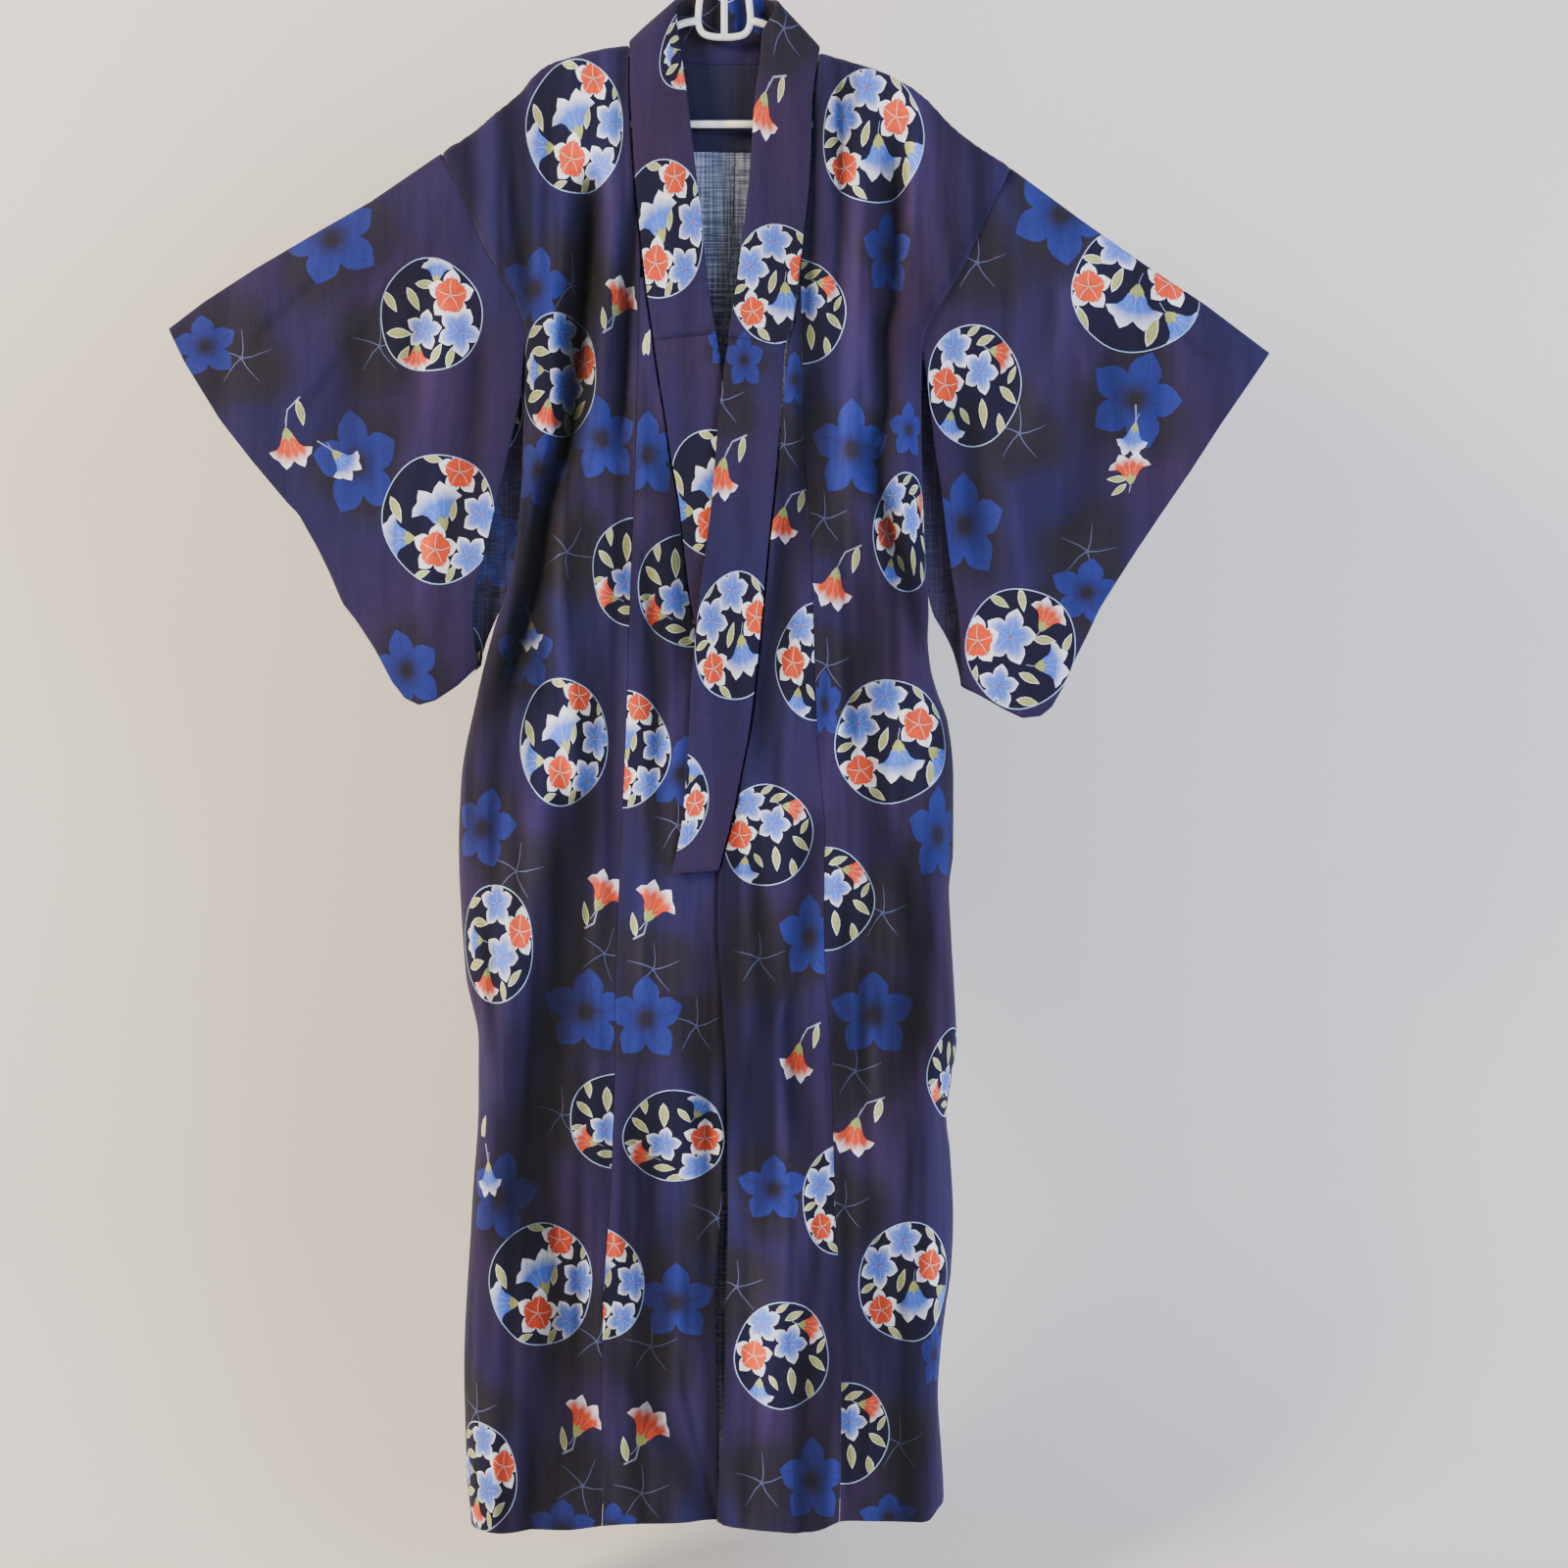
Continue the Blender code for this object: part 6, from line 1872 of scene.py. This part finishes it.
def hook_path():
    """Middle line of the hook, which bears on the rail at the origin."""
    inner = 18.5
    mid = inner + HOOK_ROD
    pts = [(0.0, 60.0), (0.0, 54.0), (1.5, 49.0), (6.0, 44.5)]
    for deg in range(55, -216, -18):
        a = math.radians(deg)
        pts.append((mid * math.cos(a), inner + mid * math.sin(a)))
    return pts


def smooth_path(pts, closed):
    """Rounds the corners of a rod's line by cutting them twice."""
    pts = np.array(pts, float)
    for _ in range(2):
        ahead = np.roll(pts, -1, axis=0)
        near, far = pts * 0.75 + ahead * 0.25, pts * 0.25 + ahead * 0.75
        both = np.stack([near, far], axis=1).reshape(-1, 2)
        pts = both if closed else np.concatenate([pts[:1], both[1:-3], pts[-1:]])
    return pts


def rod(radius, closed, pts, sides, base):
    """Round rod along a flat line."""
    pts = smooth_path(pts, closed)
    pts = np.array([(x, 0.0, -d) for x, d in pts])
    count = len(pts)
    verts, faces = [], []
    for i in range(count):
        before = pts[i - 1] if closed or i > 0 else pts[i]
        after = pts[(i + 1) % count] if closed or i < count - 1 else pts[i]
        way = (after - before) / np.linalg.norm(after - before)
        out = np.array([way[2], 0.0, -way[0]])
        for k in range(sides):
            a = 2 * math.pi * k / sides
            verts.append(pts[i] + out * radius * math.cos(a) + np.array([0, radius * math.sin(a), 0]))
    for i in range(count if closed else count - 1):
        j = (i + 1) % count
        for k in range(sides):
            m = (k + 1) % sides
            faces.append((base + i * sides + k, base + i * sides + m,
                          base + j * sides + m, base + j * sides + k))
    if not closed:
        faces.append(tuple(base + k for k in range(sides - 1, -1, -1)))
        faces.append(tuple(base + (count - 1) * sides + k for k in range(sides)))
    return [tuple(v * MM) for v in verts], faces


def build_hanger():
    """All rods of the hanger as one object."""
    verts, faces = [], []
    for radius, closed, pts in HANGER_PATHS + [(HOOK_ROD, False, hook_path())]:
        more, sides = rod(radius, closed, pts, ROD_SIDES, len(verts))
        verts += more
        faces += sides
    obj = mesh_object("hanger_rods", verts, faces)
    mesh = bmesh.new()
    mesh.from_mesh(obj.data)
    bmesh.ops.recalc_face_normals(mesh, faces=mesh.faces[:])
    mesh.to_mesh(obj.data)
    mesh.free()
    obj.data.shade_smooth()
    obj.data.materials.append(plastic())
    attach(obj, "root")
    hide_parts("hanger")


build_hanger()
